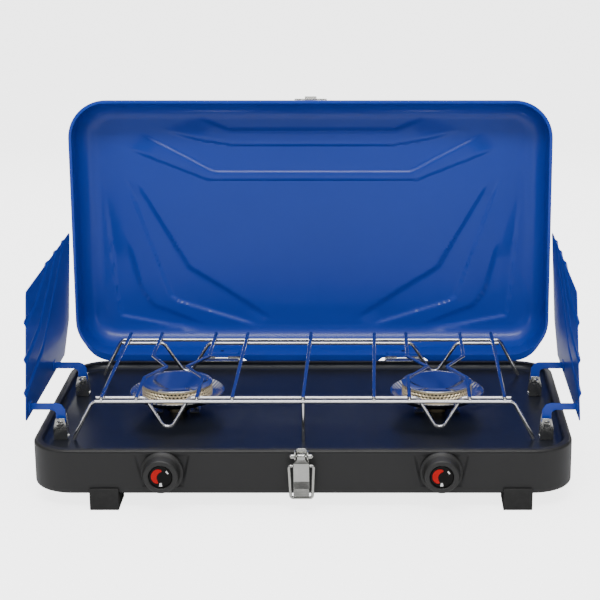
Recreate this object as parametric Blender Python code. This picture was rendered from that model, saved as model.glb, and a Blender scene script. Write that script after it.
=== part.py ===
"""Two-burner suitcase camping stove, shown open and ready to cook.

Sizes are in millimetres and each mesh is scaled to metres as it is made. X runs to the right,
Y to the back and Z up; the feet stand on Z = 0. Every sub-part is an object of its own, and each
moving group hangs under an empty that lies on its joint's axis.
"""
from math import cos, pi, radians, sin, tan

import bmesh
import bpy
from mathutils import Matrix, Vector

MM = 0.001
FIT = 0.3                       # gap left between pieces that touch

# Case and deck
CASE_W, CASE_D, CASE_R = 540.0, 292.0, 42.0
FOOT_H = 16.0
RIM_Z = 62.0
CASE_T = 1.2
CASE_FILLET = 4.0
RIM_WIDTH = 8.0
DECK_Z = 54.0
DECK_T = 0.8
DECK_FILLET = 9.0

# Lid, written as it lies shut, from its hinge axis
AXIS_Y, AXIS_Z = CASE_D / 2 + 4.0, 60.5
LID_W, LID_D, LID_R, LID_H = 535.0, 291.0, 41.0, 49.0
LID_T = 0.8
LID_FILLET = 24.0
LID_OPEN = 92.0                 # degrees from shut to the stop
LID_RIM_UP = 1.9                # rim plane above the hinge axis
HINGE_X = 104.0
HINGE_LEN = 42.0
BARREL_R, PIN_R = 2.5, 1.4

# Burners
BURNER_X = 137.5
BOWL_R, BOWL_Z, BOWL_FOOT_R, BOWL_FOOT_Z = 50.0, 75.0, 24.0, 64.0
HEAD_R, HEAD_TOP = 37.0, 84.0
CAP_R = 36.0
THROAT_R = 9.0
MIXER_Z = 38.0

# Controls
KNOB_X, KNOB_Z = 137.5, 40.0
KNOB_R, KNOB_FACE_R, KNOB_LEN = 21.0, 17.0, 16.0
STEM_R = 3.5
INLET_Y, INLET_Z = -62.0, 38.0

# Grate
WIRE_R = 1.9
CROSS_Z = 101.0
RAIL_Z = CROSS_Z - 2 * WIRE_R - FIT
FRONT_RAILS = (-100.5, -88.5)   # outer wire with the legs, inner wire with the dips
REAR_RAILS = (110.0, 97.5)
CROSS_ENDS = (-102.5, 121.0)
DIP_DEPTH = 27.0
KINK_LEN, KINK_TIP = 37.0, 10.5

# Wind screens
PIVOT_X, PIVOT_Z = 245.5, 71.5
SCREEN_FOOT_X, SCREEN_HEAD_X = 277.5, 270.3
SCREEN_LOW, SCREEN_HIGH = 78.0, 213.0
SCREEN_NEAR, SCREEN_FAR = -108.0, 142.0
SCREEN_T = 1.0
ARM_Y = (-88.0, 47.0)
ARM_T = 1.6
CLIP_GAP = 12.0                 # between the inside faces of a clip's ears
CLIP_W, CLIP_T = 14.0, 1.2

# Latch
LATCH_Y = -CASE_D / 2
LEVER_PIVOT = (LATCH_Y - 6.0, 58.0)
BAIL_PIVOT_Z = 49.5

BOX_FRONT = -CASE_D / 2 - KNOB_LEN - FIT
BOX_BACK = 210.4                # furthest point of the leaning lid

COLOURS = {
    "black_enamel": ((0.018, 0.018, 0.020), 0.34, 0.0),
    "deck_gloss": ((0.008, 0.010, 0.020), 0.14, 0.0),
    "blue_paint": ((0.012, 0.075, 0.52), 0.30, 0.0),
    "chrome": ((0.80, 0.80, 0.80), 0.10, 1.0),
    "zinc": ((0.62, 0.63, 0.62), 0.30, 1.0),
    "brass": ((0.72, 0.58, 0.34), 0.32, 1.0),
    "aluminium": ((0.66, 0.67, 0.68), 0.30, 1.0),
    "black_plastic": ((0.015, 0.015, 0.016), 0.42, 0.0),
    "knob_gloss": ((0.008, 0.008, 0.009), 0.12, 0.0),
    "rubber": ((0.020, 0.020, 0.020), 0.70, 0.0),
}


# ---------------------------------------------------------------- basic makers
def clear_scene():
    for item in list(bpy.data.objects):
        bpy.data.objects.remove(item, do_unlink=True)


def material(name):
    """The named finish as a Principled BSDF material."""
    found = bpy.data.materials.get(name)
    if found:
        return found
    colour, rough, metal = COLOURS[name]
    made = bpy.data.materials.new(name)
    made.use_nodes = True
    shader = made.node_tree.nodes["Principled BSDF"]
    shader.inputs["Base Color"].default_value = (*colour, 1.0)
    shader.inputs["Roughness"].default_value = rough
    shader.inputs["Metallic"].default_value = metal
    made.diffuse_color = (*colour, 1.0)
    return made


def pivot_empty(name, place):
    """An empty on a joint's axis, for its moving group to hang under."""
    empty = bpy.data.objects.new(name, None)
    empty.location = Vector(place) * MM
    empty.empty_display_size = 0.02
    bpy.context.scene.collection.objects.link(empty)
    return empty


def finish_mesh(name, mesh, origin, look, parent, smooth=35.0):
    """Make mesh, whose points are millimetres about origin, into a node."""
    mesh.transform(Matrix.Scale(MM, 4))
    mesh.materials.append(material(look))
    node = bpy.data.objects.new(name, mesh)
    bpy.context.scene.collection.objects.link(node)
    node.location = Vector(origin) * MM
    if parent:
        node.parent = parent
        node.location = Vector(origin) * MM - parent.location
    if smooth:
        mesh.shade_smooth()
        mesh.set_sharp_from_angle(angle=radians(smooth))
    return node


def from_rings(name, rings, look, origin=(0, 0, 0), parent=None, loop=False, smooth=35.0):
    """A closed skin through rings of equal length; its ends are capped, or joined if loop is set."""
    bm = bmesh.new()
    rows = [[bm.verts.new(Vector(p) - Vector(origin)) for p in ring] for ring in rings]
    pairs = list(zip(rows, rows[1:] + rows[:1])) if loop else list(zip(rows, rows[1:]))
    for low, high in pairs:
        count = len(low)
        for i in range(count):
            j = (i + 1) % count
            bm.faces.new((low[i], low[j], high[j], high[i]))
    if not loop:
        bm.faces.new(rows[0][::-1])
        bm.faces.new(rows[-1])
    bmesh.ops.recalc_face_normals(bm, faces=bm.faces)
    mesh = bpy.data.meshes.new(name)
    bm.to_mesh(mesh)
    bm.free()
    return finish_mesh(name, mesh, origin, look, parent, smooth)


def rounded_rect(width, depth, radius, z, steps=6):
    """Points of a rounded rectangle about the Z axis, anticlockwise."""
    points = []
    for k, (sx, sy) in enumerate(((1, 1), (-1, 1), (-1, -1), (1, -1))):
        for i in range(steps + 1):
            angle = pi / 2 * (k + i / steps)
            points.append((sx * (width / 2 - radius) + radius * cos(angle),
                           sy * (depth / 2 - radius) + radius * sin(angle), z))
    return points


def circle(centre, radius, axis="Z", steps=32):
    """Points of a circle about centre, square to axis."""
    u, v = {"X": ((0, 1, 0), (0, 0, 1)), "Y": ((0, 0, 1), (1, 0, 0)), "Z": ((1, 0, 0), (0, 1, 0))}[axis]
    return [tuple(Vector(centre) + Vector(u) * radius * cos(2 * pi * i / steps)
                  + Vector(v) * radius * sin(2 * pi * i / steps)) for i in range(steps)]


def turned(name, profile, look, centre=(0, 0, 0), axis="Z", steps=32, loop=False, **more):
    """A turned piece: profile is (distance along axis, radius) pairs, from centre."""
    along = Vector({"X": (1, 0, 0), "Y": (0, 1, 0), "Z": (0, 0, 1)}[axis])
    rings = [circle(Vector(centre) + along * h, r, axis, steps) for h, r in profile]
    return from_rings(name, rings, look, loop=loop, **more)


def slab(name, outline, plane, low, high, look, **more):
    """A flat outline pushed from low to high along the axis square to its plane."""
    place = {"XZ": lambda a, b, c: (a, c, b), "YZ": lambda a, b, c: (c, a, b),
             "XY": lambda a, b, c: (a, b, c)}[plane]
    rings = [[place(a, b, level) for a, b in outline] for level in (low, high)]
    return from_rings(name, rings, look, **more)


def block(name, low, high, look, **more):
    """A box between two corners."""
    (x0, y0, z0), (x1, y1, z1) = low, high
    return slab(name, [(x0, y0), (x1, y0), (x1, y1), (x0, y1)], "XY", z0, z1, look, smooth=0, **more)


def soften(node, width, segments=2):
    """Round the node's sharp edges."""
    bevel = node.modifiers.new("rounding", "BEVEL")
    bevel.width = width * MM
    bevel.segments = segments
    bevel.limit_method = "ANGLE"
    bevel.angle_limit = radians(40)
    return node


def arc_route(points, radius, steps=4):
    """The polyline through points with each inner corner turned into an arc."""
    route = [Vector(points[0])]
    for before, corner, after in zip(points, points[1:], points[2:]):
        corner = Vector(corner)
        back = (Vector(before) - corner).normalized()
        on = (Vector(after) - corner).normalized()
        half = back.angle(on) / 2
        reach = radius / tan(half)
        centre = corner + (back + on).normalized() * (radius / sin(half))
        start, end = corner + back * reach - centre, corner + on * reach - centre
        for i in range(steps + 1):
            step = start.lerp(end, i / steps)
            route.append(centre + step.normalized() * radius)
    route.append(Vector(points[-1]))
    return route


def wire(name, route, radius, look, origin=(0, 0, 0), parent=None, sides=1):
    """A round wire or pipe along route, as a bevelled curve."""
    curve = bpy.data.curves.new(name, "CURVE")
    curve.dimensions = "3D"
    curve.bevel_depth = radius * MM
    curve.bevel_resolution = sides
    curve.render_resolution_u = 0
    curve.use_fill_caps = True
    spline = curve.splines.new("POLY")
    spline.points.add(len(route) - 1)
    for point, place in zip(spline.points, route):
        point.co = (*((Vector(place) - Vector(origin)) * MM), 1.0)
    curve.materials.append(material(look))
    node = bpy.data.objects.new(name, curve)
    bpy.context.scene.collection.objects.link(node)
    node.location = Vector(origin) * MM
    if parent:
        node.parent = parent
        node.location = Vector(origin) * MM - parent.location
    return node


def hollow_tube(name, route, outer, inner, look, steps=20):
    """An open-ended pipe along route, which lies in a plane of constant X."""
    across = Vector((1, 0, 0))
    rings = {outer: [], inner: []}
    for i, place in enumerate(route):
        ahead, behind = route[min(i + 1, len(route) - 1)], route[max(i - 1, 0)]
        up = (ahead - behind).normalized().cross(across)
        for radius, rows in rings.items():
            rows.append([place + (across * cos(2 * pi * k / steps) + up * sin(2 * pi * k / steps)) * radius
                         for k in range(steps)])
    return from_rings(name, rings[outer] + rings[inner][::-1], look, loop=True)


def combine(node, tool, operation):
    """Cut or join tool, which is kept hidden, with node."""
    if tool.parent is None and node.parent is not None:
        tool.parent = node.parent
        tool.location = tool.location - node.parent.location
    tool.hide_render = True
    tool.display_type = "WIRE"
    step = node.modifiers.new(operation.lower(), "BOOLEAN")
    step.operation = operation
    step.solver = "EXACT"
    step.object = tool
    return node


def as_mesh(node):
    """Turn a wire into a mesh, so that another piece can be welded to it."""
    mesh = bpy.data.meshes.new_from_object(node)
    welded = bpy.data.objects.new(node.name, mesh)
    bpy.context.scene.collection.objects.link(welded)
    welded.parent, welded.location, name = node.parent, node.location, node.name
    bpy.data.objects.remove(node, do_unlink=True)
    welded.name = name
    return welded


def side_name(sign):
    return "left" if sign < 0 else "right"


# ---------------------------------------------------------------- case and deck
def make_case():
    """The pressed case: one open-topped pan with a rim turned in over the deck's edge."""
    def ring(inset, z):
        return rounded_rect(CASE_W - 2 * inset, CASE_D - 2 * inset, CASE_R - inset, z)

    roll, foot = 3.0, CASE_FILLET
    outer = [ring(foot * (1 - sin(a)), FOOT_H + foot * (1 - cos(a)))
             for a in (0, pi / 6, pi / 3, pi / 2)]
    outer += [ring(roll * (1 - cos(a)), RIM_Z - roll * (1 - sin(a)))
              for a in (0, pi / 6, pi / 3, pi / 2)]
    rim = [ring(RIM_WIDTH, RIM_Z), ring(RIM_WIDTH, RIM_Z - CASE_T)]
    inner_roll = roll - CASE_T
    inner = [ring(CASE_T + inner_roll * (1 - cos(a)), RIM_Z - roll + inner_roll * sin(a))
             for a in (pi / 2, pi / 4, 0)]
    floor = [ring(CASE_T, FOOT_H + foot), ring(foot, FOOT_H + CASE_T)]
    case = from_rings("base_case", outer + rim + inner + floor, "black_enamel")
    for sign in (-1, 1):
        hole = turned(f"stem_hole_{side_name(sign)}", [(-6, STEM_R + 1.5), (6, STEM_R + 1.5)],
                      "black_enamel", (sign * KNOB_X, -CASE_D / 2, KNOB_Z), "Y", 20)
        combine(case, hole, "DIFFERENCE")
    hole = turned("inlet_hole", [(-6, 12.0), (6, 12.0)], "black_enamel",
                  (CASE_W / 2, INLET_Y, INLET_Z), "X", 24)
    combine(case, hole, "DIFFERENCE")


def make_deck():
    """The sunk deck: a shallow tray whose edge lies under the case's turned-in rim."""
    def ring(inset, z):
        return rounded_rect(CASE_W - 2 * inset, CASE_D - 2 * inset, CASE_R - inset, z)

    edge_z = RIM_Z - CASE_T - FIT
    lip, tuck = RIM_WIDTH + 0.4, 3.2
    drop = edge_z - DECK_Z
    angles = [pi / 2 * i / 4 for i in range(5)]
    top = [ring(tuck, edge_z)]
    top += [ring(lip + DECK_FILLET * (1 - cos(a)), edge_z - drop * sin(a)) for a in angles]
    under = [ring(lip + DECK_FILLET * (1 - cos(a)) - DECK_T * cos(a), edge_z - drop * sin(a) - DECK_T * sin(a))
             for a in reversed(angles[1:])]
    under += [ring(lip - DECK_T, edge_z - DECK_T), ring(tuck, edge_z - DECK_T)]
    deck = from_rings("deck_tray", top[::-1] + under[::-1], "deck_gloss")
    for sign in (-1, 1):
        hole = turned(f"throat_hole_{side_name(sign)}", [(-8, THROAT_R + 3), (8, THROAT_R + 3)],
                      "deck_gloss", (sign * BURNER_X, 0, DECK_Z), "Z", 24)
        combine(deck, hole, "DIFFERENCE")


def make_feet():
    """Four moulded feet under the case; each has a lip that turns up over the wall."""
    width, deep, lip_t, lip_z = 29.0, 34.0, 3.0, 22.5
    for end, sign_y in (("front", -1), ("rear", 1)):
        for side, x in (("left", -195.5), ("right", 213.5)):
            face = CASE_D / 2 + FIT
            curve = CASE_FILLET + FIT
            hug = [(-(face - curve * (1 - sin(a))), FOOT_H - FIT + curve * (1 - cos(a)))
                   for a in (0, pi / 6, pi / 3, pi / 2)]
            outline = [(-(face + lip_t), 0), (-(face - deep), 0), (-(face - deep), FOOT_H - FIT), *hug,
                       (-face, lip_z), (-(face + lip_t), lip_z)]
            outline = [(-sign_y * a, b) for a, b in outline]
            foot = slab(f"foot_{end}_{side}", outline, "YZ", x - width / 2, x + width / 2, "rubber",
                        smooth=0)
            soften(foot, 0.8, 1)


# ---------------------------------------------------------------- burners and gas train
def make_burners():
    """Each burner: a strap on the deck, a dish, a perforated head and a cap on top."""
    for sign in (-1, 1):
        side = side_name(sign)
        x = sign * BURNER_X
        strap_top = BOWL_FOOT_Z - 1.0
        w, t = 15.0, 1.2
        outline = [(-w - 9, DECK_Z + FIT), (-w + t, DECK_Z + FIT), (-w + t, strap_top - t),
                   (w - t, strap_top - t), (w - t, DECK_Z + FIT), (w + 9, DECK_Z + FIT),
                   (w + 9, DECK_Z + FIT + t), (w, DECK_Z + FIT + t), (w, strap_top),
                   (-w, strap_top), (-w, DECK_Z + FIT + t), (-w - 9, DECK_Z + FIT + t)]
        strap = slab(f"burner_strap_{side}", [(x + a, b) for a, b in outline], "XZ", -14, 14, "zinc",
                     smooth=0)
        hole = turned(f"strap_hole_{side}", [(-4, THROAT_R + FIT), (4, THROAT_R + FIT)], "zinc",
                      (x, 0, strap_top), "Z", 24)
        combine(strap, hole, "DIFFERENCE")

        foot, rim, sheet = BOWL_FOOT_Z, BOWL_Z, 0.8
        dish = [(foot - 0.7, THROAT_R + FIT), (foot - 0.7, BOWL_FOOT_R), (foot + 2.5, 38.0), (rim - 2, 47.5),
                (rim, BOWL_R), (rim + sheet, BOWL_R - 0.3), (rim - 2 + sheet, 46.8),
                (foot + 2.5 + sheet, 37.4), (foot - 0.7 + sheet, BOWL_FOOT_R - 0.5),
                (foot - 0.7 + sheet, THROAT_R + FIT)]
        turned(f"burner_bowl_{side}", dish, "chrome", (x, 0, 0), "Z", 32, loop=True)

        low = BOWL_FOOT_Z + 4.6
        head = [(MIXER_Z + 14, THROAT_R), (low - 1, THROAT_R), (low, 15), (low + 1.5, 33), (low + 3, HEAD_R),
                (HEAD_TOP, HEAD_R), (HEAD_TOP, HEAD_R - 2), (low + 3.5, HEAD_R - 2), (low + 3, 30),
                (low + 1.5, 12), (low, THROAT_R - 1.5), (MIXER_Z + 14, THROAT_R - 1.5)]
        turned(f"burner_head_{side}", head, "brass", (x, 0, 0), "Z", 32, loop=True)

        base = HEAD_TOP + FIT
        cap = [(base - 3.5, 0.5), (base - 3.5, HEAD_R - 2.6), (base, HEAD_R - 2.6), (base, CAP_R + 1.4),
               (base + 0.9, CAP_R + 1.2), (base + 2.0, CAP_R - 3.5), (base + 2.4, CAP_R - 7),
               (base + 2.4, 0.5)]
        turned(f"burner_cap_{side}", cap, "chrome", (x, 0, 0), "Z", 32)

        route = arc_route([(x, 0, MIXER_Z + 13.7), (x, 0, MIXER_Z), (x, -78, MIXER_Z)], 13.0, 6)
        hollow_tube(f"mixing_tube_{side}", route, THROAT_R - 1.5, THROAT_R - 3.0, "aluminium")


def make_gas_train():
    """Two valves on one manifold pipe, fed from the threaded inlet in the right wall."""
    pipe_z, pipe_y, pipe_r = 24.5, -112.0, 3.5
    for sign in (-1, 1):
        side = side_name(sign)
        x = sign * KNOB_X
        valve = block(f"valve_{side}", (x - 9, -138, KNOB_Z - 10), (x + 9, -96, KNOB_Z + 9), "brass")
        soften(valve, 1.5)
        jet = turned(f"jet_{side}", [(-98, 5.8), (-89, 5.8), (-88, 3.2), (-79, 3.2)], "brass",
                     (x, 0, MIXER_Z), "Y", 20)
        combine(valve, jet, "UNION")
        turned(f"valve_stem_{side}", [(-138 - FIT, STEM_R), (-CASE_D / 2 - 11, STEM_R)], "zinc",
               (x, 0, KNOB_Z), "Y", 16, origin=(x, -CASE_D / 2, KNOB_Z), parent=KNOBS[sign])
    route = arc_route([(-KNOB_X - 12, pipe_y, pipe_z), (222, pipe_y, pipe_z), (222, INLET_Y, pipe_z),
                       (222, INLET_Y, INLET_Z), (239.5, INLET_Y, INLET_Z)], 6.0, 4)
    wire("manifold_pipe", route, pipe_r, "aluminium")
    turned("gas_inlet", [(239.8, 7), (245, 7), (245, 11), (249, 11), (249, 8.5), (268, 8.5), (268, 3),
                         (252, 3)], "brass", (0, INLET_Y, INLET_Z), "X", 24)


def make_knobs():
    """Each knob: a flanged grip with a glossy pressed-in centre that carries the heat mark."""
    for sign in (-1, 1):
        side = side_name(sign)
        x, wall = sign * KNOB_X, -CASE_D / 2 - FIT
        place = (x, -CASE_D / 2, KNOB_Z)
        face = wall - KNOB_LEN
        grip = [(wall, STEM_R + 1.5), (wall, KNOB_R), (wall - 3.5, KNOB_R), (wall - 5, KNOB_R - 2.2),
                (face + 1.0, KNOB_FACE_R), (face, KNOB_FACE_R - 1.0), (face, 11.9), (face + 2.6, 11.9),
                (face + 2.6, STEM_R + 1.5)]
        turned(f"knob_{side}", grip, "black_plastic", (x, 0, KNOB_Z), "Y", 28, loop=True,
               origin=place, parent=KNOBS[sign])
        disc = [(face + 2.3, 0.5), (face + 2.3, 11.6), (face + 0.9, 11.6), (face + 0.6, 10.8), (face + 0.9, 0.5)]
        turned(f"knob_centre_{side}", disc, "knob_gloss", (x, 0, KNOB_Z), "Y", 24,
               origin=place, parent=KNOBS[sign])


# ---------------------------------------------------------------- grate
def make_grate():
    """The welded wire grate: four rails, their legs and dips, and nine cross wires."""
    lift = GRATE
    reach, foot_x = 211.0, 232.5
    rails = {}
    for end, (y, _), foot_y in (("front", FRONT_RAILS, -93.0), ("rear", REAR_RAILS, 111.5)):
        toe = DECK_Z + FIT + WIRE_R / 2
        route = [(-foot_x, foot_y, toe), (-reach, y, RAIL_Z), (reach, y, RAIL_Z), (foot_x, foot_y, toe)]
        rails[end] = wire(f"grate_leg_rail_{end}", arc_route(route, 6.0), WIRE_R, "chrome", parent=lift)
    for end, (_, y), half in (("front", FRONT_RAILS, 22.0), ("rear", REAR_RAILS, 25.0)):
        route = [(-reach + 2, y, RAIL_Z)]
        for x in (-BURNER_X, BURNER_X):
            route += [(x - half, y, RAIL_Z), (x, y, RAIL_Z - DIP_DEPTH - 4), (x + half, y, RAIL_Z)]
        route.append((reach - 2, y, RAIL_Z))
        wire(f"grate_dip_rail_{end}", arc_route(route, 4.5), WIRE_R, "chrome", parent=lift)
    leg = turned("grate_centre_leg", [(DECK_Z + FIT, WIRE_R), (RAIL_Z + 0.4, WIRE_R)], "chrome",
                 (0, FRONT_RAILS[0] + 2.2, 0), "Z", 12)
    combine(as_mesh(rails["front"]), leg, "UNION")
    for number, x in enumerate((-202, -167, -106.5, -71, 0, 71, 106.5, 167, 202), 1):
        route = [(x, CROSS_ENDS[0], CROSS_Z), (x, CROSS_ENDS[1], CROSS_Z)]
        if abs(x) in (167, 106.5):
            middle = BURNER_X if x > 0 else -BURNER_X
            tip = middle + KINK_TIP * (1 if x > middle else -1)
            route[1:1] = [(x, -KINK_LEN, CROSS_Z), (tip, 0, CROSS_Z), (x, KINK_LEN, CROSS_Z)]
        wire(f"grate_cross_wire_{number}", arc_route(route, 3.0, 3), WIRE_R, "chrome", parent=lift)


# ---------------------------------------------------------------- wind screens
def make_screens():
    """Two folding screens: a leaning panel on two arms, each pinned in a clip on the deck."""
    tilt = (SCREEN_FOOT_X - SCREEN_HEAD_X) / (SCREEN_HIGH - SCREEN_LOW)

    def panel_x(z):
        return SCREEN_FOOT_X - tilt * (z - SCREEN_LOW)

    for sign in (-1, 1):
        side = side_name(sign)
        hinge = SCREENS[sign]
        near, far, low, high = SCREEN_NEAR, SCREEN_FAR, SCREEN_LOW, SCREEN_HIGH
        outline = [(near, low + 3), (near + 10, low), (far - 28, low), (far, low + 34), (far, high - 5),
                   (far - 4, high), (near + 3, high), (near, high - 3)]
        rings = [[(sign * (panel_x(z) + off), y, z) for y, z in outline] for off in (-SCREEN_T / 2, SCREEN_T / 2)]
        panel = from_rings(f"wind_screen_{side}", rings, "blue_paint", (sign * PIVOT_X, 0, PIVOT_Z), hinge,
                           smooth=0)
        for number, y in enumerate(ARM_Y, 1):
            x0 = panel_x(87) + 0.2
            shape = [(x0, 91), (x0, 84), (PIVOT_X + 9, 84), (PIVOT_X + 5, 82), (PIVOT_X + 5, PIVOT_Z),
                     (PIVOT_X + 3.5, PIVOT_Z - 3.5), (PIVOT_X, PIVOT_Z - 5), (PIVOT_X - 3.5, PIVOT_Z - 3.5),
                     (PIVOT_X - 5, PIVOT_Z), (PIVOT_X - 4.5, 84), (PIVOT_X - 1, 89.5), (PIVOT_X + 4, 91)]
            arm = slab(f"arm_{side}_{number}", [(sign * a, b) for a, b in shape], "XZ", y - ARM_T / 2,
                       y + ARM_T / 2, "blue_paint", smooth=0)
            combine(panel, arm, "UNION")
        for number, y in enumerate(ARM_Y, 1):
            hole = turned(f"arm_hole_{side}_{number}", [(y - 5, 2.3), (y + 5, 2.3)], "blue_paint",
                          (sign * PIVOT_X, 0, PIVOT_Z), "Y", 16)
            combine(panel, hole, "DIFFERENCE")
            make_clip(side, sign, ("front", "rear")[number - 1], y)


def make_clip(side, sign, end, y):
    """One U-shaped clip on the deck, and the rivet that pins the screen's arm in it."""
    half, base = CLIP_GAP / 2, DECK_Z + FIT
    outline = [(y - half - CLIP_T, base), (y + half + CLIP_T, base), (y + half + CLIP_T, PIVOT_Z + 5.5),
               (y + half, PIVOT_Z + 5.5), (y + half, base + CLIP_T), (y - half, base + CLIP_T),
               (y - half, PIVOT_Z + 5.5), (y - half - CLIP_T, PIVOT_Z + 5.5)]
    x = sign * PIVOT_X
    clip = slab(f"screen_clip_{end}_{side}", outline, "YZ", x - CLIP_W / 2, x + CLIP_W / 2, "zinc", smooth=0)
    hole = turned(f"clip_hole_{end}_{side}", [(y - 12, 2.3), (y + 12, 2.3)], "zinc", (x, 0, PIVOT_Z), "Y", 16)
    combine(clip, hole, "DIFFERENCE")
    out = half + CLIP_T + FIT
    shape = [(y - out - 2.2, 1.6), (y - out - 1.6, 3.4), (y - out, 3.9), (y - out, 2.0), (y + out, 2.0),
             (y + out, 3.9), (y + out + 1.2, 3.4)]
    turned(f"screen_rivet_{end}_{side}", shape, "zinc", (x, 0, PIVOT_Z), "Y", 16)


# ---------------------------------------------------------------- latch
def make_latch():
    """The draw latch on the front wall: a back plate, a lever and the bail that it pulls."""
    wall, pivot_y, pivot_z = LATCH_Y - FIT, LEVER_PIVOT[0], LEVER_PIVOT[1]
    plate = block("latch_plate", (-11, wall - 1.2, 26), (11, wall, 65), "zinc")
    for sign in (-1, 1):
        ear = slab(f"latch_ear_{side_name(sign)}",
                   [(wall - 1.0, 54), (wall - 1.0, 63), (pivot_y, 62), (pivot_y - 3, 60.5), (pivot_y - 3.6, 58),
                    (pivot_y - 2.6, 55.5), (pivot_y, 54)], "YZ",
                   sign * 9.4 - 0.8, sign * 9.4 + 0.8, "zinc", smooth=0)
        combine(plate, ear, "UNION")
    pin = turned("latch_pin", [(-11.2, 1.2), (11.2, 1.2)], "zinc", (0, pivot_y, pivot_z), "X", 12)
    combine(plate, pin, "UNION")

    out = pivot_y
    shape = [(out - 1.4, 55.2), (out - 2.9, 51.0), (out - 2.9, 33.0), (out - 4.5, 26.0), (out - 8.5, 19.5),
             (out - 9.4, 20.2), (out - 5.6, 26.5), (out - 4.0, 33.5), (out - 4.0, 51.5), (out - 3.4, 56.0),
             (out - 3.4, 59.4), (out - 1.8, 61.0), (out + 1.8, 61.0), (out + 3.2, 59.4), (out + 3.2, 56.4),
             (out + 1.6, 55.0)]
    lever = slab("latch_lever", shape, "YZ", -7.8, 7.8, "zinc", origin=(0, pivot_y, pivot_z), parent=LEVER,
                 smooth=50)
    hole = turned("lever_hole", [(-12, 1.6), (12, 1.6)], "zinc", (0, pivot_y, pivot_z), "X", 12)
    combine(lever, hole, "DIFFERENCE")

    bail_y = out - 3.4
    route = arc_route([(-8.2, bail_y, BAIL_PIVOT_Z), (-12.3, bail_y, BAIL_PIVOT_Z), (-10.6, bail_y, 16.2),
                       (10.6, bail_y, 16.2), (12.3, bail_y, BAIL_PIVOT_Z), (8.2, bail_y, BAIL_PIVOT_Z)], 2.6, 4)
    wire("latch_bail", route, 1.5, "zinc", origin=(0, bail_y, BAIL_PIVOT_Z), parent=BAIL)


# ---------------------------------------------------------------- lid
def make_lid():
    """The lid pan, its catch and its two hinges, all written as they lie when it is shut."""
    rim = AXIS_Z + LID_RIM_UP

    def ring(inset, height):
        return rounded_rect(LID_W - 2 * inset, LID_D - 2 * inset, LID_R - inset, rim + height)

    draft = 1.0
    angles = [pi / 2 * i / 5 for i in range(6)]
    straight = LID_H - LID_FILLET
    outer = [ring(0, 0)] + [ring(draft + LID_FILLET * (1 - cos(a)), straight + LID_FILLET * sin(a))
                            for a in angles]
    small = LID_FILLET - LID_T
    inner = [ring(draft + LID_T + small * (1 - cos(a)), straight + small * sin(a)) for a in reversed(angles)]
    inner.append(ring(LID_T, 0))
    from_rings("lid_shell", outer[::-1] + inner[::-1], "blue_paint", (0, AXIS_Y, AXIS_Z), LID)

    front = -LID_D / 2 - FIT
    catch = block("lid_catch", (-18, front - 1.2, rim + 3), (18, front + 0.15, rim + 21), "zinc",
                  origin=(0, AXIS_Y, AXIS_Z), parent=LID)
    hook = slab("catch_hook", [(front - 1.0, rim + 8), (front - 1.0, rim + 18), (front - 3.6, rim + 18),
                               (front - 4.6, rim + 15), (front - 3.4, rim + 15.2), (front - 2.6, rim + 16),
                               (front - 2.6, rim + 8)], "YZ", -6.5, 6.5, "zinc", smooth=0)
    combine(catch, hook, "UNION")

    wall = CASE_D / 2 + FIT
    third = HINGE_LEN / 3
    for sign in (-1, 1):
        side = side_name(sign)
        x = sign * HINGE_X
        low_leaf = block(f"hinge_leaf_case_{side}", (x - HINGE_LEN / 2, wall, 40),
                         (x + HINGE_LEN / 2, wall + 1.2, AXIS_Z - BARREL_R - 1.2), "zinc")
        neck = block(f"case_neck_{side}", (x - third / 2 + FIT, wall + 0.1, AXIS_Z - BARREL_R - 3),
                     (x + third / 2 - FIT, AXIS_Y - PIN_R - 0.4, AXIS_Z), "zinc")
        knuckle = turned(f"case_knuckle_{side}", [(x - third / 2 + FIT + 0.05, BARREL_R),
                                                  (x + third / 2 - FIT - 0.05, BARREL_R)], "zinc",
                         (0, AXIS_Y, AXIS_Z), "X", 18)
        hole = turned(f"case_pin_hole_{side}", [(x - 12, PIN_R + 0.15), (x + 12, PIN_R + 0.15)], "zinc",
                      (0, AXIS_Y, AXIS_Z), "X", 18)
        combine(low_leaf, neck, "UNION")
        combine(low_leaf, knuckle, "UNION")
        combine(low_leaf, hole, "DIFFERENCE")

        back = LID_D / 2 + FIT
        top_leaf = block(f"hinge_leaf_lid_{side}", (x - HINGE_LEN / 2, back, rim + 1.6),
                         (x + HINGE_LEN / 2, back + 1.2, rim + 19), "blue_paint",
                         origin=(0, AXIS_Y, AXIS_Z), parent=LID)
        for k in (-1, 1):
            c = x + k * third
            neck = block(f"lid_neck_{side}_{k + 2}", (c - third / 2 + 0.1, back + 0.1, AXIS_Z + 0.5),
                         (c + third / 2 - 0.1, AXIS_Y - PIN_R - 0.3, rim + 3), "zinc")
            knuckle = turned(f"lid_knuckle_{side}_{k + 2}", [(c - third / 2, BARREL_R), (c + third / 2, BARREL_R)],
                             "zinc", (0, AXIS_Y, AXIS_Z), "X", 18)
            combine(top_leaf, neck, "UNION")
            combine(top_leaf, knuckle, "UNION")
        hole = turned(f"lid_pin_hole_{side}", [(x - 30, PIN_R + 0.15), (x + 30, PIN_R + 0.15)], "zinc",
                      (0, AXIS_Y, AXIS_Z), "X", 18)
        combine(top_leaf, hole, "DIFFERENCE")
        ends = (x - HINGE_LEN / 2 - 0.6, x + HINGE_LEN / 2 + 0.6)
        turned(f"hinge_pin_{side}", [(end, PIN_R) for end in ends], "zinc", (0, AXIS_Y, AXIS_Z), "X", 16)
    LID.rotation_euler.x = radians(-LID_OPEN)


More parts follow.
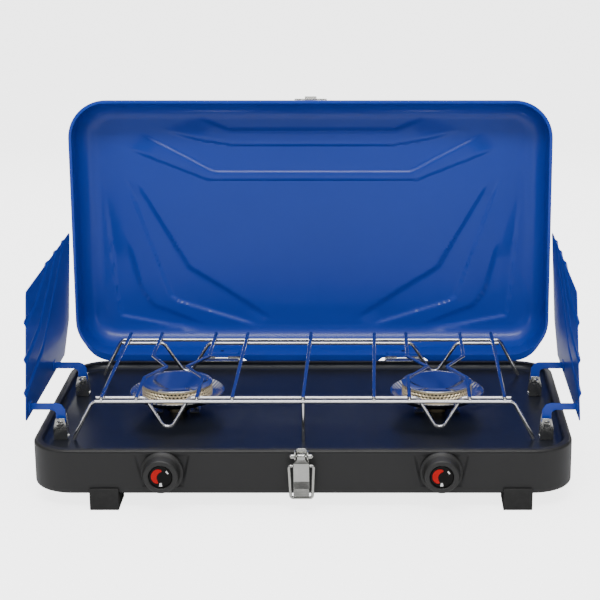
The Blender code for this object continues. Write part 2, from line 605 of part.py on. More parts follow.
# ---------------------------------------------------------------- the whole stove
clear_scene()
LID = pivot_empty("lid_pivot", (0, AXIS_Y, AXIS_Z))
GRATE = pivot_empty("grate_lift", (0, 0, DECK_Z))
SCREENS = {s: pivot_empty(f"screen_pivot_{side_name(s)}", (s * PIVOT_X, 0, PIVOT_Z)) for s in (-1, 1)}
KNOBS = {s: pivot_empty(f"knob_pivot_{side_name(s)}", (s * KNOB_X, -CASE_D / 2, KNOB_Z)) for s in (-1, 1)}
LEVER = pivot_empty("lever_pivot", (0, *LEVER_PIVOT))
BAIL = pivot_empty("bail_pivot", (0, LEVER_PIVOT[0] - 3.4, BAIL_PIVOT_Z))

make_case()
make_deck()
make_feet()
make_burners()
make_gas_train()
make_knobs()
make_grate()
make_screens()
make_latch()
make_lid()

# Slide the stove along Y, so that the middle of its whole box stands over the origin.
for thing in bpy.data.objects:
    if thing.parent is None:
        thing.location.y -= (BOX_FRONT + BOX_BACK) / 2 * MM
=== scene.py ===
"""Finished looks of the two-burner suitcase camping stove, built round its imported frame.

Pieces are worked out in millimetres in the stove's own frame, which is centred on the case: X to the
right, Y to the back, Z up from the ground. Assembly.mesh moves them to the frame that the bodies share.
"""
import logging
from dataclasses import dataclass, field
from enum import Enum
from typing import Callable, Sequence

import bmesh
import bpy
import numpy as np
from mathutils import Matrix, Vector

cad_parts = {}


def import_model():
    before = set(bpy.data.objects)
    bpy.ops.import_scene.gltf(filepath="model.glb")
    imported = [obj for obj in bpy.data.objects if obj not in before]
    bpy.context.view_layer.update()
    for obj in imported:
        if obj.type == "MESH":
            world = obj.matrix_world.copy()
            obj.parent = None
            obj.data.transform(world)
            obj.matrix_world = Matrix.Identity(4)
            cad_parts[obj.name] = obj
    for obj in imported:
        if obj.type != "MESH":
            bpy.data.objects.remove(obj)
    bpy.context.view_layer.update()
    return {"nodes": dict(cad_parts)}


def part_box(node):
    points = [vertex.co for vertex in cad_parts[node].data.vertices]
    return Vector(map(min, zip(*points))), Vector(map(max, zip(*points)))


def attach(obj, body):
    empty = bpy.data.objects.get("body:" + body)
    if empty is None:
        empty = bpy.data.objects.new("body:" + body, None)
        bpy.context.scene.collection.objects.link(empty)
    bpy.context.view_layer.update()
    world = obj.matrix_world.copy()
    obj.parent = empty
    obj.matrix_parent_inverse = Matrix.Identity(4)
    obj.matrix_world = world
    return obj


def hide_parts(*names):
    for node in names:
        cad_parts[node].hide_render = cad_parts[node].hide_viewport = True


LOG = logging.getLogger("stove")
MM = 0.001
BURNER_X = 137.5  # how far each burner and its knob stand from the middle
FRONT_WALL = -146.3  # the place along Y that knobs and latch are mounted on
Array = np.ndarray
Tree = bpy.types.NodeTree


class Side(Enum):
    """The two sides of the stove, with the sign of X there."""

    LEFT = -1
    RIGHT = 1

    @property
    def label(self) -> str:
        """The side's name inside piece names."""
        return self.name.lower()


class Finish(Enum):
    """The record's material slots that pieces take their finish from."""

    ENAMEL = "black_enamel"
    DECK = "deck_gloss"
    BLUE = "blue_paint"
    CHROME = "chrome"
    ZINC = "zinc"
    BRASS = "brass"
    ALUMINIUM = "aluminium"
    PLASTIC = "black_plastic"
    KNOB_GLOSS = "knob_gloss"
    RUBBER = "rubber"
    RED_PRINT = "red_print"
    # White finish for the knob's printed pointer mark and for a painted highlight on its glossy disc.
    WHITE_PRINT = "white_print"
    # Near-black painted shade for the floors of the sunk flame holes and the hinge tabs' rivet heads,
    # standing in for the dark inside a hole.
    HOLE = "burner_hole"


# ---------------------------------------------------------------- curves and surfaces as arrays
def unit(vectors: Array) -> Array:
    """Each row of vectors divided by its own length."""
    return vectors / np.maximum(np.linalg.norm(vectors, axis=-1, keepdims=True), 1e-12)


def ease(values: Array) -> Array:
    """The smooth step 3t^2 - 2t^3 of values held between 0 and 1."""
    t = np.clip(values, 0.0, 1.0)
    return t * t * (3.0 - 2.0 * t)


def corner_fall(distance: Array, reach: float) -> Array:
    """How far a quarter-round edge falls, from 1 at its end to 0 once distance is the reach."""
    return 1 - np.sqrt(1 - (1 - np.clip(distance / reach, 0, 1)) ** 2)


def rounded_path(points: Sequence[Sequence[float]], radius: float, steps: int = 8) -> Array:
    """A polyline whose inner corners are arcs of one radius.

    Each corner's arc has its centre on the corner's bisector, radius / sin(half angle) away, and
    its points are chord points pushed out to the radius.

    Args:
        points: the corners, as rows of two or three numbers.
        radius: the arcs' radius.
        steps: chords in each arc.

    Returns:
        The path's points, one a row.
    """
    corners = np.asarray(points, float)
    middle = corners[1:-1]
    back, ahead = unit(corners[:-2] - middle), unit(corners[2:] - middle)
    half = np.arccos(np.clip((back * ahead).sum(1), -1, 1))[:, None] / 2
    room = np.minimum(np.linalg.norm(corners[:-2] - middle, axis=1),
                      np.linalg.norm(corners[2:] - middle, axis=1))[:, None]
    reach = np.minimum(radius / np.tan(half), 0.49 * room)
    arc = np.where(half > np.radians(89.5), 0.0, reach * np.tan(half))
    centre = middle + unit(back + ahead) * arc / np.sin(half)
    start, end = middle + back * reach - centre, middle + ahead * reach - centre
    t = np.linspace(0, 1, steps + 1)[None, :, None]
    sweep = unit(start[:, None] * (1 - t) + end[:, None] * t) * arc[:, None] + centre[:, None]
    return np.vstack([corners[:1], sweep.reshape(-1, corners.shape[1]), corners[-1:]])


def closed_outline(points: Sequence[Sequence[float]], radius: float, steps: int = 3) -> Array:
    """A closed outline with every corner turned into an arc of about the given radius.

    Args:
        points: the corners, in order.
        radius: the arcs' radius.
        steps: chords in each arc.

    Returns:
        The outline's points, one a row.
    """
    corners = np.asarray(points, float)
    start = (corners[-1] + corners[0]) / 2
    return rounded_path(np.vstack([start, corners, start]), radius, steps)[:-1]


def tube_grid(path: Array, radius: float, square_to: Sequence[float], sides: int = 16,
              dome: bool = True) -> Array:
    """A round wire along a path: the circle radius (side cos a + up sin a) at each point.

    Side is the tangent crossed with a fixed direction, and up is square to both. The ends close in
    quarter-round domes.

    Args:
        path: the middle line, one point a row.
        radius: the wire's radius.
        square_to: a direction that the wire never runs along.
        sides: points round the wire.
        dome: whether the ends are domed; otherwise they are flat.

    Returns:
        A grid of points, rows along the wire.
    """
    tangent = unit(np.gradient(path, axis=0))
    first, last = tangent[0], tangent[-1]
    swell = np.linspace(0, np.pi / 2, 5)
    back, girth = radius * (1 - np.sin(swell)), radius * np.cos(swell[::-1])
    if not dome:
        back, girth = np.zeros(2), np.array([1e-4, radius])
    head = path[0] + first * back[:, None]
    tail = path[-1] - last * back[::-1, None]
    line = np.vstack([head, path[1:-1], tail])
    along = np.vstack([np.repeat(first[None], len(back), 0), tangent[1:-1],
                       np.repeat(last[None], len(back), 0)])
    size = np.concatenate([girth, np.full(len(path) - 2, radius), girth[::-1]])
    side = unit(np.cross(along, np.asarray(square_to, float)))
    up = np.cross(side, along)
    angle = np.linspace(0, 2 * np.pi, sides, endpoint=False)
    ring = side[:, None] * np.cos(angle)[None, :, None] + up[:, None] * np.sin(angle)[None, :, None]
    return line[:, None] + ring * np.maximum(size, 1e-4)[:, None, None]


def turned_grid(profile: Array, sides: int, centre: Sequence[float], axis: str = "Z",
                swell: Callable[[Array, Array], Array] | None = None) -> Array:
    """A turned piece: (distance along the axis, radius) pairs carried round a circle.

    Args:
        profile: the pairs, one a row.
        sides: points round the circle.
        centre: the point on the axis that distances start from.
        axis: the axis that the piece is turned about.
        swell: an amount added to the radius, from the profile row's number and the angle.

    Returns:
        A grid of points, rows along the profile.
    """
    angle = np.linspace(0, 2 * np.pi, sides, endpoint=False)[None]
    height = np.repeat(profile[:, :1], sides, 1)
    radius = np.repeat(profile[:, 1:2], sides, 1)
    if swell is not None:
        radius = radius + swell(np.arange(len(profile))[:, None] * np.ones_like(angle), angle)
    order = {"X": (2, 0, 1), "Y": (1, 2, 0), "Z": (0, 1, 2)}[axis]
    flat = np.stack([radius * np.cos(angle), radius * np.sin(angle), height], -1)
    return flat[..., order] + np.asarray(centre, float)


def smooth_profile(points: Sequence[Sequence[float]], radius: float = 0.4, steps: int = 3) -> Array:
    """A turned piece's profile with small arcs at its corners, so that edges catch the light."""
    return rounded_path(points, radius, steps)


def prism_grid(outline: Array, low: float, high: float, plane: str, round_by: float = 0.3) -> Array:
    """An outline pushed along the axis square to its plane, with its edges rounded.

    Near each end the outline draws in along its own inward normal by a quarter-round.

    Args:
        outline: the closed outline, one point a row.
        low: where the prism starts on the axis.
        high: where it ends.
        plane: the outline's plane, as two axis letters.
        round_by: radius of the rounded edges.

    Returns:
        A grid of points, rows along the axis.
    """
    edge = np.roll(outline, -1, 0) - np.roll(outline, 1, 0)
    turn = np.sign((outline[:, 0] * np.roll(outline[:, 1], -1)
                    - np.roll(outline[:, 0], -1) * outline[:, 1]).sum())
    inward = unit(np.stack([-edge[:, 1], edge[:, 0]], 1)) * turn
    bend = np.linspace(0, np.pi / 2, 4)
    drawn, lifted = round_by * (1 - np.sin(bend)), round_by * (1 - np.cos(bend))
    inset = np.concatenate([drawn, drawn[::-1]])
    level = np.concatenate([low + lifted, (high - lifted)[::-1]])
    flat = outline[None] + inward[None] * inset[:, None, None]
    third = np.repeat(level[:, None], len(outline), 1)[..., None]
    grid = np.concatenate([flat, third], -1)
    order = {"XY": (0, 1, 2), "YZ": (2, 0, 1), "XZ": (0, 2, 1)}[plane]
    return grid[..., order]


def rim_ring(width: float, depth: float, radius: float, inset: Array, height: Array,
             xs: Array, ys: Array, corner_steps: int) -> Array:
    """Nested rounded rectangles: each row is the outline drawn in by its inset, at its height.

    Straight sides are sampled at the given shares of their half-length, and each corner is a
    quarter circle about a fixed centre, whose radius shrinks with the inset and stops at nought.

    Args:
        width: size across X before the inset.
        depth: size across Y before the inset.
        radius: corner radius before the inset.
        inset: how far each row is drawn in.
        height: each row's Z.
        xs: samples along the front and back sides, rising from -1 to 1.
        ys: samples along the left and right sides, rising from -1 to 1.
        corner_steps: chords in each corner.

    Returns:
        A grid of points, one closed anticlockwise outline a row.
    """
    inset, height = np.asarray(inset, float)[:, None], np.asarray(height, float)[:, None]
    bend = np.maximum(radius - inset, 0.0)
    half_x, half_y = width / 2 - inset - bend, depth / 2 - inset - bend
    quarter = np.linspace(0, np.pi / 2, corner_steps + 1)[None, 1:-1]
    reach_x, reach_y = half_x + bend, half_y + bend

    def corner(sign_x: int, sign_y: int, turn: float) -> Array:
        """One corner's arc, started at the given angle."""
        a = quarter + turn
        return np.stack([sign_x * half_x + bend * np.cos(a), sign_y * half_y + bend * np.sin(a)], -1)

    front = np.stack([half_x * xs[None], -reach_y + 0 * xs[None]], -1)
    right = np.stack([reach_x + 0 * ys[None], half_y * ys[None]], -1)
    back = np.stack([half_x * xs[None, ::-1], reach_y + 0 * xs[None]], -1)
    left = np.stack([-reach_x + 0 * ys[None], half_y * ys[None, ::-1]], -1)
    flat = np.concatenate([front, corner(1, -1, -np.pi / 2), right, corner(1, 1, 0.0),
                           back, corner(-1, 1, np.pi / 2), left, corner(-1, -1, np.pi)], 1)
    return np.concatenate([flat, np.repeat(height, flat.shape[1], 1)[..., None]], -1)


def grid_normals(grid: Array, wrap: bool = True) -> Array:
    """Unit normals of a grid: the row direction crossed with the column direction.

    Args:
        grid: the points, rows by columns.
        wrap: whether the columns close on themselves.

    Returns:
        One normal for each point.
    """
    down = np.gradient(grid, axis=0)
    across = (np.roll(grid, -1, 1) - np.roll(grid, 1, 1)) if wrap else np.gradient(grid, axis=1)
    return unit(np.cross(across, down))


def distance_to_line(points: Array, line: Array) -> Array:
    """How far each 2-D point is from a polyline, as the least distance to any of its pieces.

    Args:
        points: the points, one a row.
        line: the polyline's points, one a row.

    Returns:
        The distance of each point.
    """
    start, run = line[:-1][None], np.diff(line, axis=0)[None]
    share = ((points[:, None] - start) * run).sum(-1) / (run ** 2).sum(-1)
    foot = start + run * np.clip(share, 0, 1)[..., None]
    return np.linalg.norm(points[:, None] - foot, axis=-1).min(1)


def inside_outline(points: Array, outline: Array) -> Array:
    """Whether each 2-D point lies inside a closed outline, by counting the edges to its right.

    Args:
        points: the points, one a row.
        outline: the outline's points, one a row.

    Returns:
        True for each point that lies inside.
    """
    a, b = outline, np.roll(outline, -1, 0)
    x, y = points[:, 0, None], points[:, 1, None]
    spans = (a[None, :, 1] > y) != (b[None, :, 1] > y)
    slope = (b[:, 0] - a[:, 0]) / np.where(b[:, 1] == a[:, 1], 1e-9, b[:, 1] - a[:, 1])
    crossing = a[None, :, 0] + (y - a[None, :, 1]) * slope[None]
    return (spans & (x < crossing)).sum(1) % 2 == 1


# ---------------------------------------------------------------- meshes
@dataclass
class Skin:
    """Gathers grids of points into one mesh, with a finish for each grid."""

    points: list[Array] = field(default_factory=list)
    faces: list[list[int]] = field(default_factory=list)
    finishes: list[int] = field(default_factory=list)
    looks: list[Finish] = field(default_factory=list)
    count: int = 0

    def add(self, grid: Array, look: Finish, wrap: bool = True, loop: bool = False,
            caps: bool = True) -> "Skin":
        """Adds one grid as quads.

        Args:
            grid: the points, rows by columns.
            look: the finish of its faces.
            wrap: whether the columns close on themselves.
            loop: whether the rows close on themselves.
            caps: whether the first and last rows get an end face.

        Returns:
            The skin itself.
        """
        rows, columns = grid.shape[:2]
        index = np.arange(rows * columns).reshape(rows, columns) + self.count
        if wrap:
            index = np.hstack([index, index[:, :1]])
        if loop:
            index = np.vstack([index, index[:1]])
        quads = np.stack([index[:-1, :-1], index[:-1, 1:], index[1:, 1:], index[1:, :-1]], -1)
        faces = quads.reshape(-1, 4).tolist()
        if caps and wrap and not loop:
            faces += [index[0, :-1][::-1].tolist(), index[-1, :-1].tolist()]
        self.points.append(grid.reshape(-1, 3))
        self.faces += faces
        if look not in self.looks:
            self.looks.append(look)
        self.finishes += [self.looks.index(look)] * len(faces)
        self.count += rows * columns
        return self


@dataclass(frozen=True)
class Plan:
    """Where the stove stands in the shared frame, and its paint shop."""

    shift: Array
    paints: dict[Finish, bpy.types.Material]


@dataclass
class Assembly:
    """What every sub-assembly shares: the plan it is made to and the names of its pieces."""

    plan: Plan
    pieces: list[str] = field(default_factory=list, init=False)

    def build(self) -> None:
        """Builds every piece of the sub-assembly."""
        raise NotImplementedError

    def report(self) -> None:
        """Reports each finished piece; tools that were cut with are gone by now."""
        for name in self.pieces:
            if name in bpy.data.objects:
                LOG.info("%s: %s", type(self).__name__, name)

    def mesh(self, name: str, skin: Skin, body: str, stands_for: Sequence[str] = (),
             sharp: float = 40.0, weld: float = 2e-6,
             move: Callable[[Array], Array] | None = None) -> bpy.types.Object:
        """Makes a skin into a piece that rides on a body; its first grid's finish is its slot.

        Args:
            name: the piece's name.
            skin: its grids, in millimetres in the stove's own frame.
            body: the body that it moves with.
            stands_for: CAD nodes that it replaces.
            sharp: edges that turn by more degrees than this stay sharp.
            weld: points closer than this are merged.
            move: a last move of the points, still in millimetres.

        Returns:
            The piece.
        """
        points = np.vstack(skin.points)
        if move is not None:
            points = move(points)
        mesh = bpy.data.meshes.new(name)
        mesh.from_pydata((points * MM + self.plan.shift).tolist(), [], skin.faces)
        for look in skin.looks:
            mesh.materials.append(self.plan.paints[look])
        mesh.polygons.foreach_set("material_index", np.array(skin.finishes, np.int32))
        tidy_mesh(mesh, weld)
        mesh.shade_smooth()
        mesh.set_sharp_from_angle(angle=np.radians(sharp))
        piece = bpy.data.objects.new(name, mesh)
        bpy.context.scene.collection.objects.link(piece)
        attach(piece, body)
        if stands_for:
            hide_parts(*stands_for)
        self.pieces.append(name)
        return piece

    def plug(self, name: str, centre: Sequence[float], radius: float,
             axis: str) -> bpy.types.Object:
        """A round tool for bore, through the wall at centre.

        Args:
            name: the tool's name.
            centre: the middle of the hole.
            radius: the hole's radius.
            axis: the way it goes.

        Returns:
            The tool.
        """
        profile = np.array([[-7.0, radius], [7.0, radius]])
        skin = Skin().add(turned_grid(profile, 40, centre, axis), Finish.ENAMEL)
        return self.mesh(f"tool_{name}", skin, "base")


def tidy_mesh(mesh: bpy.types.Mesh, weld: float) -> None:
    """Merges points that coincide, drops faces left without area and turns faces outwards.

    Args:
        mesh: the mesh to tidy.
        weld: points closer than this are merged.
    """
    shape = bmesh.new()
    shape.from_mesh(mesh)
    bmesh.ops.remove_doubles(shape, verts=shape.verts, dist=weld)
    bmesh.ops.dissolve_degenerate(shape, edges=shape.edges, dist=weld / 4)
    bmesh.ops.recalc_face_normals(shape, faces=shape.faces)
    shape.to_mesh(mesh)
    shape.free()


def bore(piece: bpy.types.Object, tools: Sequence[bpy.types.Object], sharp: float = 40.0) -> None:
    """Cuts closed tool pieces out of a piece and removes the tools.

    Args:
        piece: the piece to cut.
        tools: closed pieces that mark what is taken away.
        sharp: edges that turn by more degrees than this stay sharp.
    """
    for tool in tools:
        cut = piece.modifiers.new("bore", "BOOLEAN")
        cut.operation, cut.solver, cut.object = "DIFFERENCE", "EXACT", tool
    graph = bpy.context.evaluated_depsgraph_get()
    made = bpy.data.meshes.new_from_object(piece.evaluated_get(graph))
    old, name = piece.data, piece.data.name
    piece.modifiers.clear()
    piece.data = made
    bpy.data.meshes.remove(old)
    made.name = name
    made.shade_smooth()
    made.set_sharp_from_angle(angle=np.radians(sharp))
    for tool in tools:
        spent = tool.data
        bpy.data.objects.remove(tool)
        bpy.data.meshes.remove(spent)


# ---------------------------------------------------------------- shader node groups
def new_group(name: str, inputs: Sequence[tuple[str, float]],
              outputs: Sequence[tuple[str, str]]) -> Tree:
    """An empty shader group with named number inputs and named outputs.

    Args:
        name: the group's name.
        inputs: each input's name and default number.
        outputs: each output's name and socket kind.

    Returns:
        The group, with its input and output nodes made.
    """
    tree = bpy.data.node_groups.new(name, "ShaderNodeTree")
    for label, value in inputs:
        socket = tree.interface.new_socket(name=label, in_out="INPUT", socket_type="NodeSocketFloat")
        socket.default_value = value
    for label, kind in outputs:
        tree.interface.new_socket(name=label, in_out="OUTPUT", socket_type=kind)
    tree.nodes.new("NodeGroupInput")
    tree.nodes.new("NodeGroupOutput")
    return tree


def place_node(tree: Tree, kind: str, **settings: object) -> bpy.types.Node:
    """A new node with its properties set; a key that is a socket's name sets that input.

    Args:
        tree: the node tree.
        kind: the node's type.
        settings: properties, or inputs with underscores for spaces.

    Returns:
        The node.
    """
    node = tree.nodes.new(kind)
    for key, value in settings.items():
        if hasattr(node, key):
            setattr(node, key, value)
        else:
            node.inputs[key.replace("_", " ")].default_value = value
    return node


def math_node(tree: Tree, operation: str, first: object, second: object, clamp: bool = False
              ) -> bpy.types.NodeSocket:
    """A Math node's result, from sockets or numbers.

    Args:
        tree: the node tree.
        operation: the Math node's operation.
        first: a socket or a number.
        second: a socket or a number.
        clamp: whether the result is held between 0 and 1.

    Returns:
        The result's socket.
    """
    node = tree.nodes.new("ShaderNodeMath")
    node.operation, node.use_clamp = operation, clamp
    for slot, value in zip(node.inputs, (first, second)):
        if isinstance(value, bpy.types.NodeSocket):
            tree.links.new(value, slot)
        else:
            slot.default_value = value
    return node.outputs[0]


def noise_node(tree: Tree, scale: object, detail: float = 3.0,
               rough: float = 0.5) -> bpy.types.NodeSocket:
    """Noise on the piece's own coordinates; scale is a number or a socket.

    Args:
        tree: the node tree.
        scale: a number or a socket.
        detail: how many finer layers are added.
        rough: how strong they are.

    Returns:
        The noise's socket.
    """
    place = tree.nodes.new("ShaderNodeTexCoord").outputs["Object"]
    node = place_node(tree, "ShaderNodeTexNoise", Detail=detail, Roughness=rough)
    tree.links.new(place, node.inputs["Vector"])
    if isinstance(scale, bpy.types.NodeSocket):
        tree.links.new(scale, node.inputs["Scale"])
    else:
        node.inputs["Scale"].default_value = scale
    return node.outputs["Fac"]


def grain_group() -> Tree:
    """Fine grain or orange peel: two sizes of noise mixed into one height.

    Returns:
        The group.
    """
    tree = new_group("surface_grain", [("Scale", 400.0), ("Coarse Share", 0.5)],
                     [("Height", "NodeSocketFloat")])
    start, end = tree.nodes["Group Input"], tree.nodes["Group Output"]
    fine = noise_node(tree, start.outputs["Scale"])
    coarse = noise_node(tree, math_node(tree, "MULTIPLY", start.outputs["Scale"], 0.28), 2.0)
    lean = math_node(tree, "MULTIPLY", coarse, start.outputs["Coarse Share"])
    rest = math_node(tree, "MULTIPLY", fine, math_node(tree, "SUBTRACT", 1.0,
                                                       start.outputs["Coarse Share"]))
    tree.links.new(math_node(tree, "ADD", lean, rest), end.inputs["Height"])
    return tree


def handling_group() -> Tree:
    """Faint handling marks: broad noise that lifts the roughness, with thin rubbed streaks.

    Returns:
        The group.
    """
    tree = new_group("handling_marks", [("Base", 0.3), ("Spread", 0.08), ("Size", 14.0)],
                     [("Roughness", "NodeSocketFloat"), ("Mask", "NodeSocketFloat")])
    start, end = tree.nodes["Group Input"], tree.nodes["Group Output"]
    broad = noise_node(tree, start.outputs["Size"], 4.0, 0.6)
    streaks = noise_node(tree, math_node(tree, "MULTIPLY", start.outputs["Size"], 9.0), 5.0, 0.75)
    mask = math_node(tree, "MULTIPLY", math_node(tree, "SUBTRACT", broad, 0.35, True),
                     math_node(tree, "ADD", streaks, 0.6), True)
    lift = math_node(tree, "MULTIPLY", mask, start.outputs["Spread"])
    tree.links.new(math_node(tree, "ADD", start.outputs["Base"], lift, True), end.inputs["Roughness"])
    tree.links.new(mask, end.inputs["Mask"])
    return tree


def edge_group() -> Tree:
    """Edge wear: sharp outward edges picked out by pointiness and broken up by noise.

    Returns:
        The group.
    """
    tree = new_group("edge_wear", [("Amount", 0.4), ("Break Size", 180.0)],
                     [("Mask", "NodeSocketFloat")])
    start, end = tree.nodes["Group Input"], tree.nodes["Group Output"]
    point = tree.nodes.new("ShaderNodeNewGeometry").outputs["Pointiness"]
    edge = math_node(tree, "MULTIPLY", math_node(tree, "SUBTRACT", point, 0.53, True), 9.0, True)
    patchy = math_node(tree, "SUBTRACT", noise_node(tree, start.outputs["Break Size"], 4.0, 0.7),
                       0.4, True)
    mask = math_node(tree, "MULTIPLY", edge, math_node(tree, "MULTIPLY", patchy, 4.0, True))
    tree.links.new(math_node(tree, "MULTIPLY", mask, start.outputs["Amount"]), end.inputs["Mask"])
    return tree


def dust_group() -> Tree:
    """Settled dust: surfaces that face up, broken up by soft noise.

    Returns:
        The group.
    """
    tree = new_group("settled_dust", [("Amount", 0.1)], [("Mask", "NodeSocketFloat")])
    start, end = tree.nodes["Group Input"], tree.nodes["Group Output"]
    split = tree.nodes.new("ShaderNodeSeparateXYZ")
    tree.links.new(tree.nodes.new("ShaderNodeNewGeometry").outputs["Normal"], split.inputs[0])
    up = math_node(tree, "MULTIPLY", math_node(tree, "SUBTRACT", split.outputs["Z"], 0.4, True),
                   1.6, True)
    cloud = math_node(tree, "SUBTRACT", noise_node(tree, 60.0, 6.0, 0.7), 0.3, True)
    mask = math_node(tree, "MULTIPLY", up, math_node(tree, "MULTIPLY", cloud, 2.2, True))
    tree.links.new(math_node(tree, "MULTIPLY", mask, start.outputs["Amount"]), end.inputs["Mask"])
    return tree


def brushed_group() -> Tree:
    """Drawn-metal lines: noise stretched along one way of the piece, as a height and a mask.

    Returns:
        The group.
    """
    tree = new_group("drawn_lines", [("Scale", 60.0), ("Stretch", 12.0)],
                     [("Height", "NodeSocketFloat")])
    start, end = tree.nodes["Group Input"], tree.nodes["Group Output"]
    place = tree.nodes.new("ShaderNodeTexCoord").outputs["Object"]
    wide = tree.nodes.new("ShaderNodeCombineXYZ")
    tree.links.new(start.outputs["Stretch"], wide.inputs["Z"])
    wide.inputs["X"].default_value, wide.inputs["Y"].default_value = 1.0, 1.0
    scaled = place_node(tree, "ShaderNodeVectorMath", operation="MULTIPLY")
    tree.links.new(place, scaled.inputs[0])
    tree.links.new(wide.outputs[0], scaled.inputs[1])
    node = place_node(tree, "ShaderNodeTexNoise", Detail=4.0, Roughness=0.6)
    tree.links.new(scaled.outputs[0], node.inputs["Vector"])
    tree.links.new(start.outputs["Scale"], node.inputs["Scale"])
    tree.links.new(node.outputs["Fac"], end.inputs["Height"])
    return tree


# ---------------------------------------------------------------- finishes
@dataclass(frozen=True)
class Coat:
    """One finish: its base, how worn, how grained, and the shader's own plain numbers."""

    colour: tuple[float, float, float]
    worn: tuple[float, float, float]
    rough: float
    rough_spread: float = 0.10
    mark_size: float = 14.0
    metal: float = 0.0
    coat: float = 0.0
    coat_rough: float = 0.1
    specular: float = 0.5
    grain: float = 400.0
    grain_share: float = 0.4
    grain_depth: float = 0.00002
    wear: float = 0.25
    dust: float = 0.04
    drawn: bool = False
    tint_spread: float = 0.08

    def build(self, name: str, groups: dict) -> bpy.types.Material:
        """Makes the material.

        Args:
            name: the material's name.
            groups: the shared node groups by name.

        Returns:
            The material, with its shader fed by the shared groups.
        """
        made = bpy.data.materials.new(name)
        made.use_nodes = True
        tree = made.node_tree
        shader = tree.nodes["Principled BSDF"]
        for label, value in (("Metallic", self.metal), ("Coat Weight", self.coat),
                             ("Coat Roughness", self.coat_rough),
                             ("Specular IOR Level", self.specular)):
            shader.inputs[label].default_value = value

        def group(kind: str, **values: float) -> bpy.types.Node:
            """A shared group placed in this material, with its own values.

            Args:
                kind: the group's short name.
                values: its inputs, with underscores for spaces.

            Returns:
                The placed node.
            """
            node = tree.nodes.new("ShaderNodeGroup")
            node.node_tree = groups[kind]
            for key, value in values.items():
                node.inputs[key.replace("_", " ")].default_value = value
            return node

        marks = group("handling", Base=self.rough, Spread=self.rough_spread, Size=self.mark_size)
        grain = group("drawn" if self.drawn else "grain", Scale=self.grain)
        if not self.drawn:
            grain.inputs["Coarse Share"].default_value = self.grain_share
        wear = group("edges", Amount=self.wear)
        dust = group("dust", Amount=self.dust)
        tree.links.new(marks.outputs["Roughness"], shader.inputs["Roughness"])
        shade = self.mix(tree, marks.outputs["Mask"], self.colour,
                         tuple(c * (1 + self.tint_spread) + 0.004 for c in self.colour))
        shade = self.mix(tree, wear.outputs["Mask"], shade, self.worn)
        shade = self.mix(tree, dust.outputs["Mask"], shade, (0.45, 0.44, 0.42))
        tree.links.new(shade, shader.inputs["Base Color"])
        bump = place_node(tree, "ShaderNodeBump", Strength=1.0, Distance=self.grain_depth)
        tree.links.new(grain.outputs["Height"], bump.inputs["Height"])
        tree.links.new(bump.outputs["Normal"], shader.inputs["Normal"])
        return made

    @staticmethod
    def mix(tree: Tree, share: bpy.types.NodeSocket, low: object, high: object) -> bpy.types.NodeSocket:
        """A colour mix by share; low and high are colours or sockets.

        Args:
            tree: the node tree.
            share: the mix's share socket.
            low: the colour at no share.
            high: the colour at full share.

        Returns:
            The mixed colour's socket.
        """
        node = tree.nodes.new("ShaderNodeMix")
        node.data_type = "RGBA"
        tree.links.new(share, node.inputs[0])
        for slot, value in ((node.inputs[6], low), (node.inputs[7], high)):
            if isinstance(value, bpy.types.NodeSocket):
                tree.links.new(value, slot)
            else:
                slot.default_value = (*value, 1.0)
        return node.outputs[2]


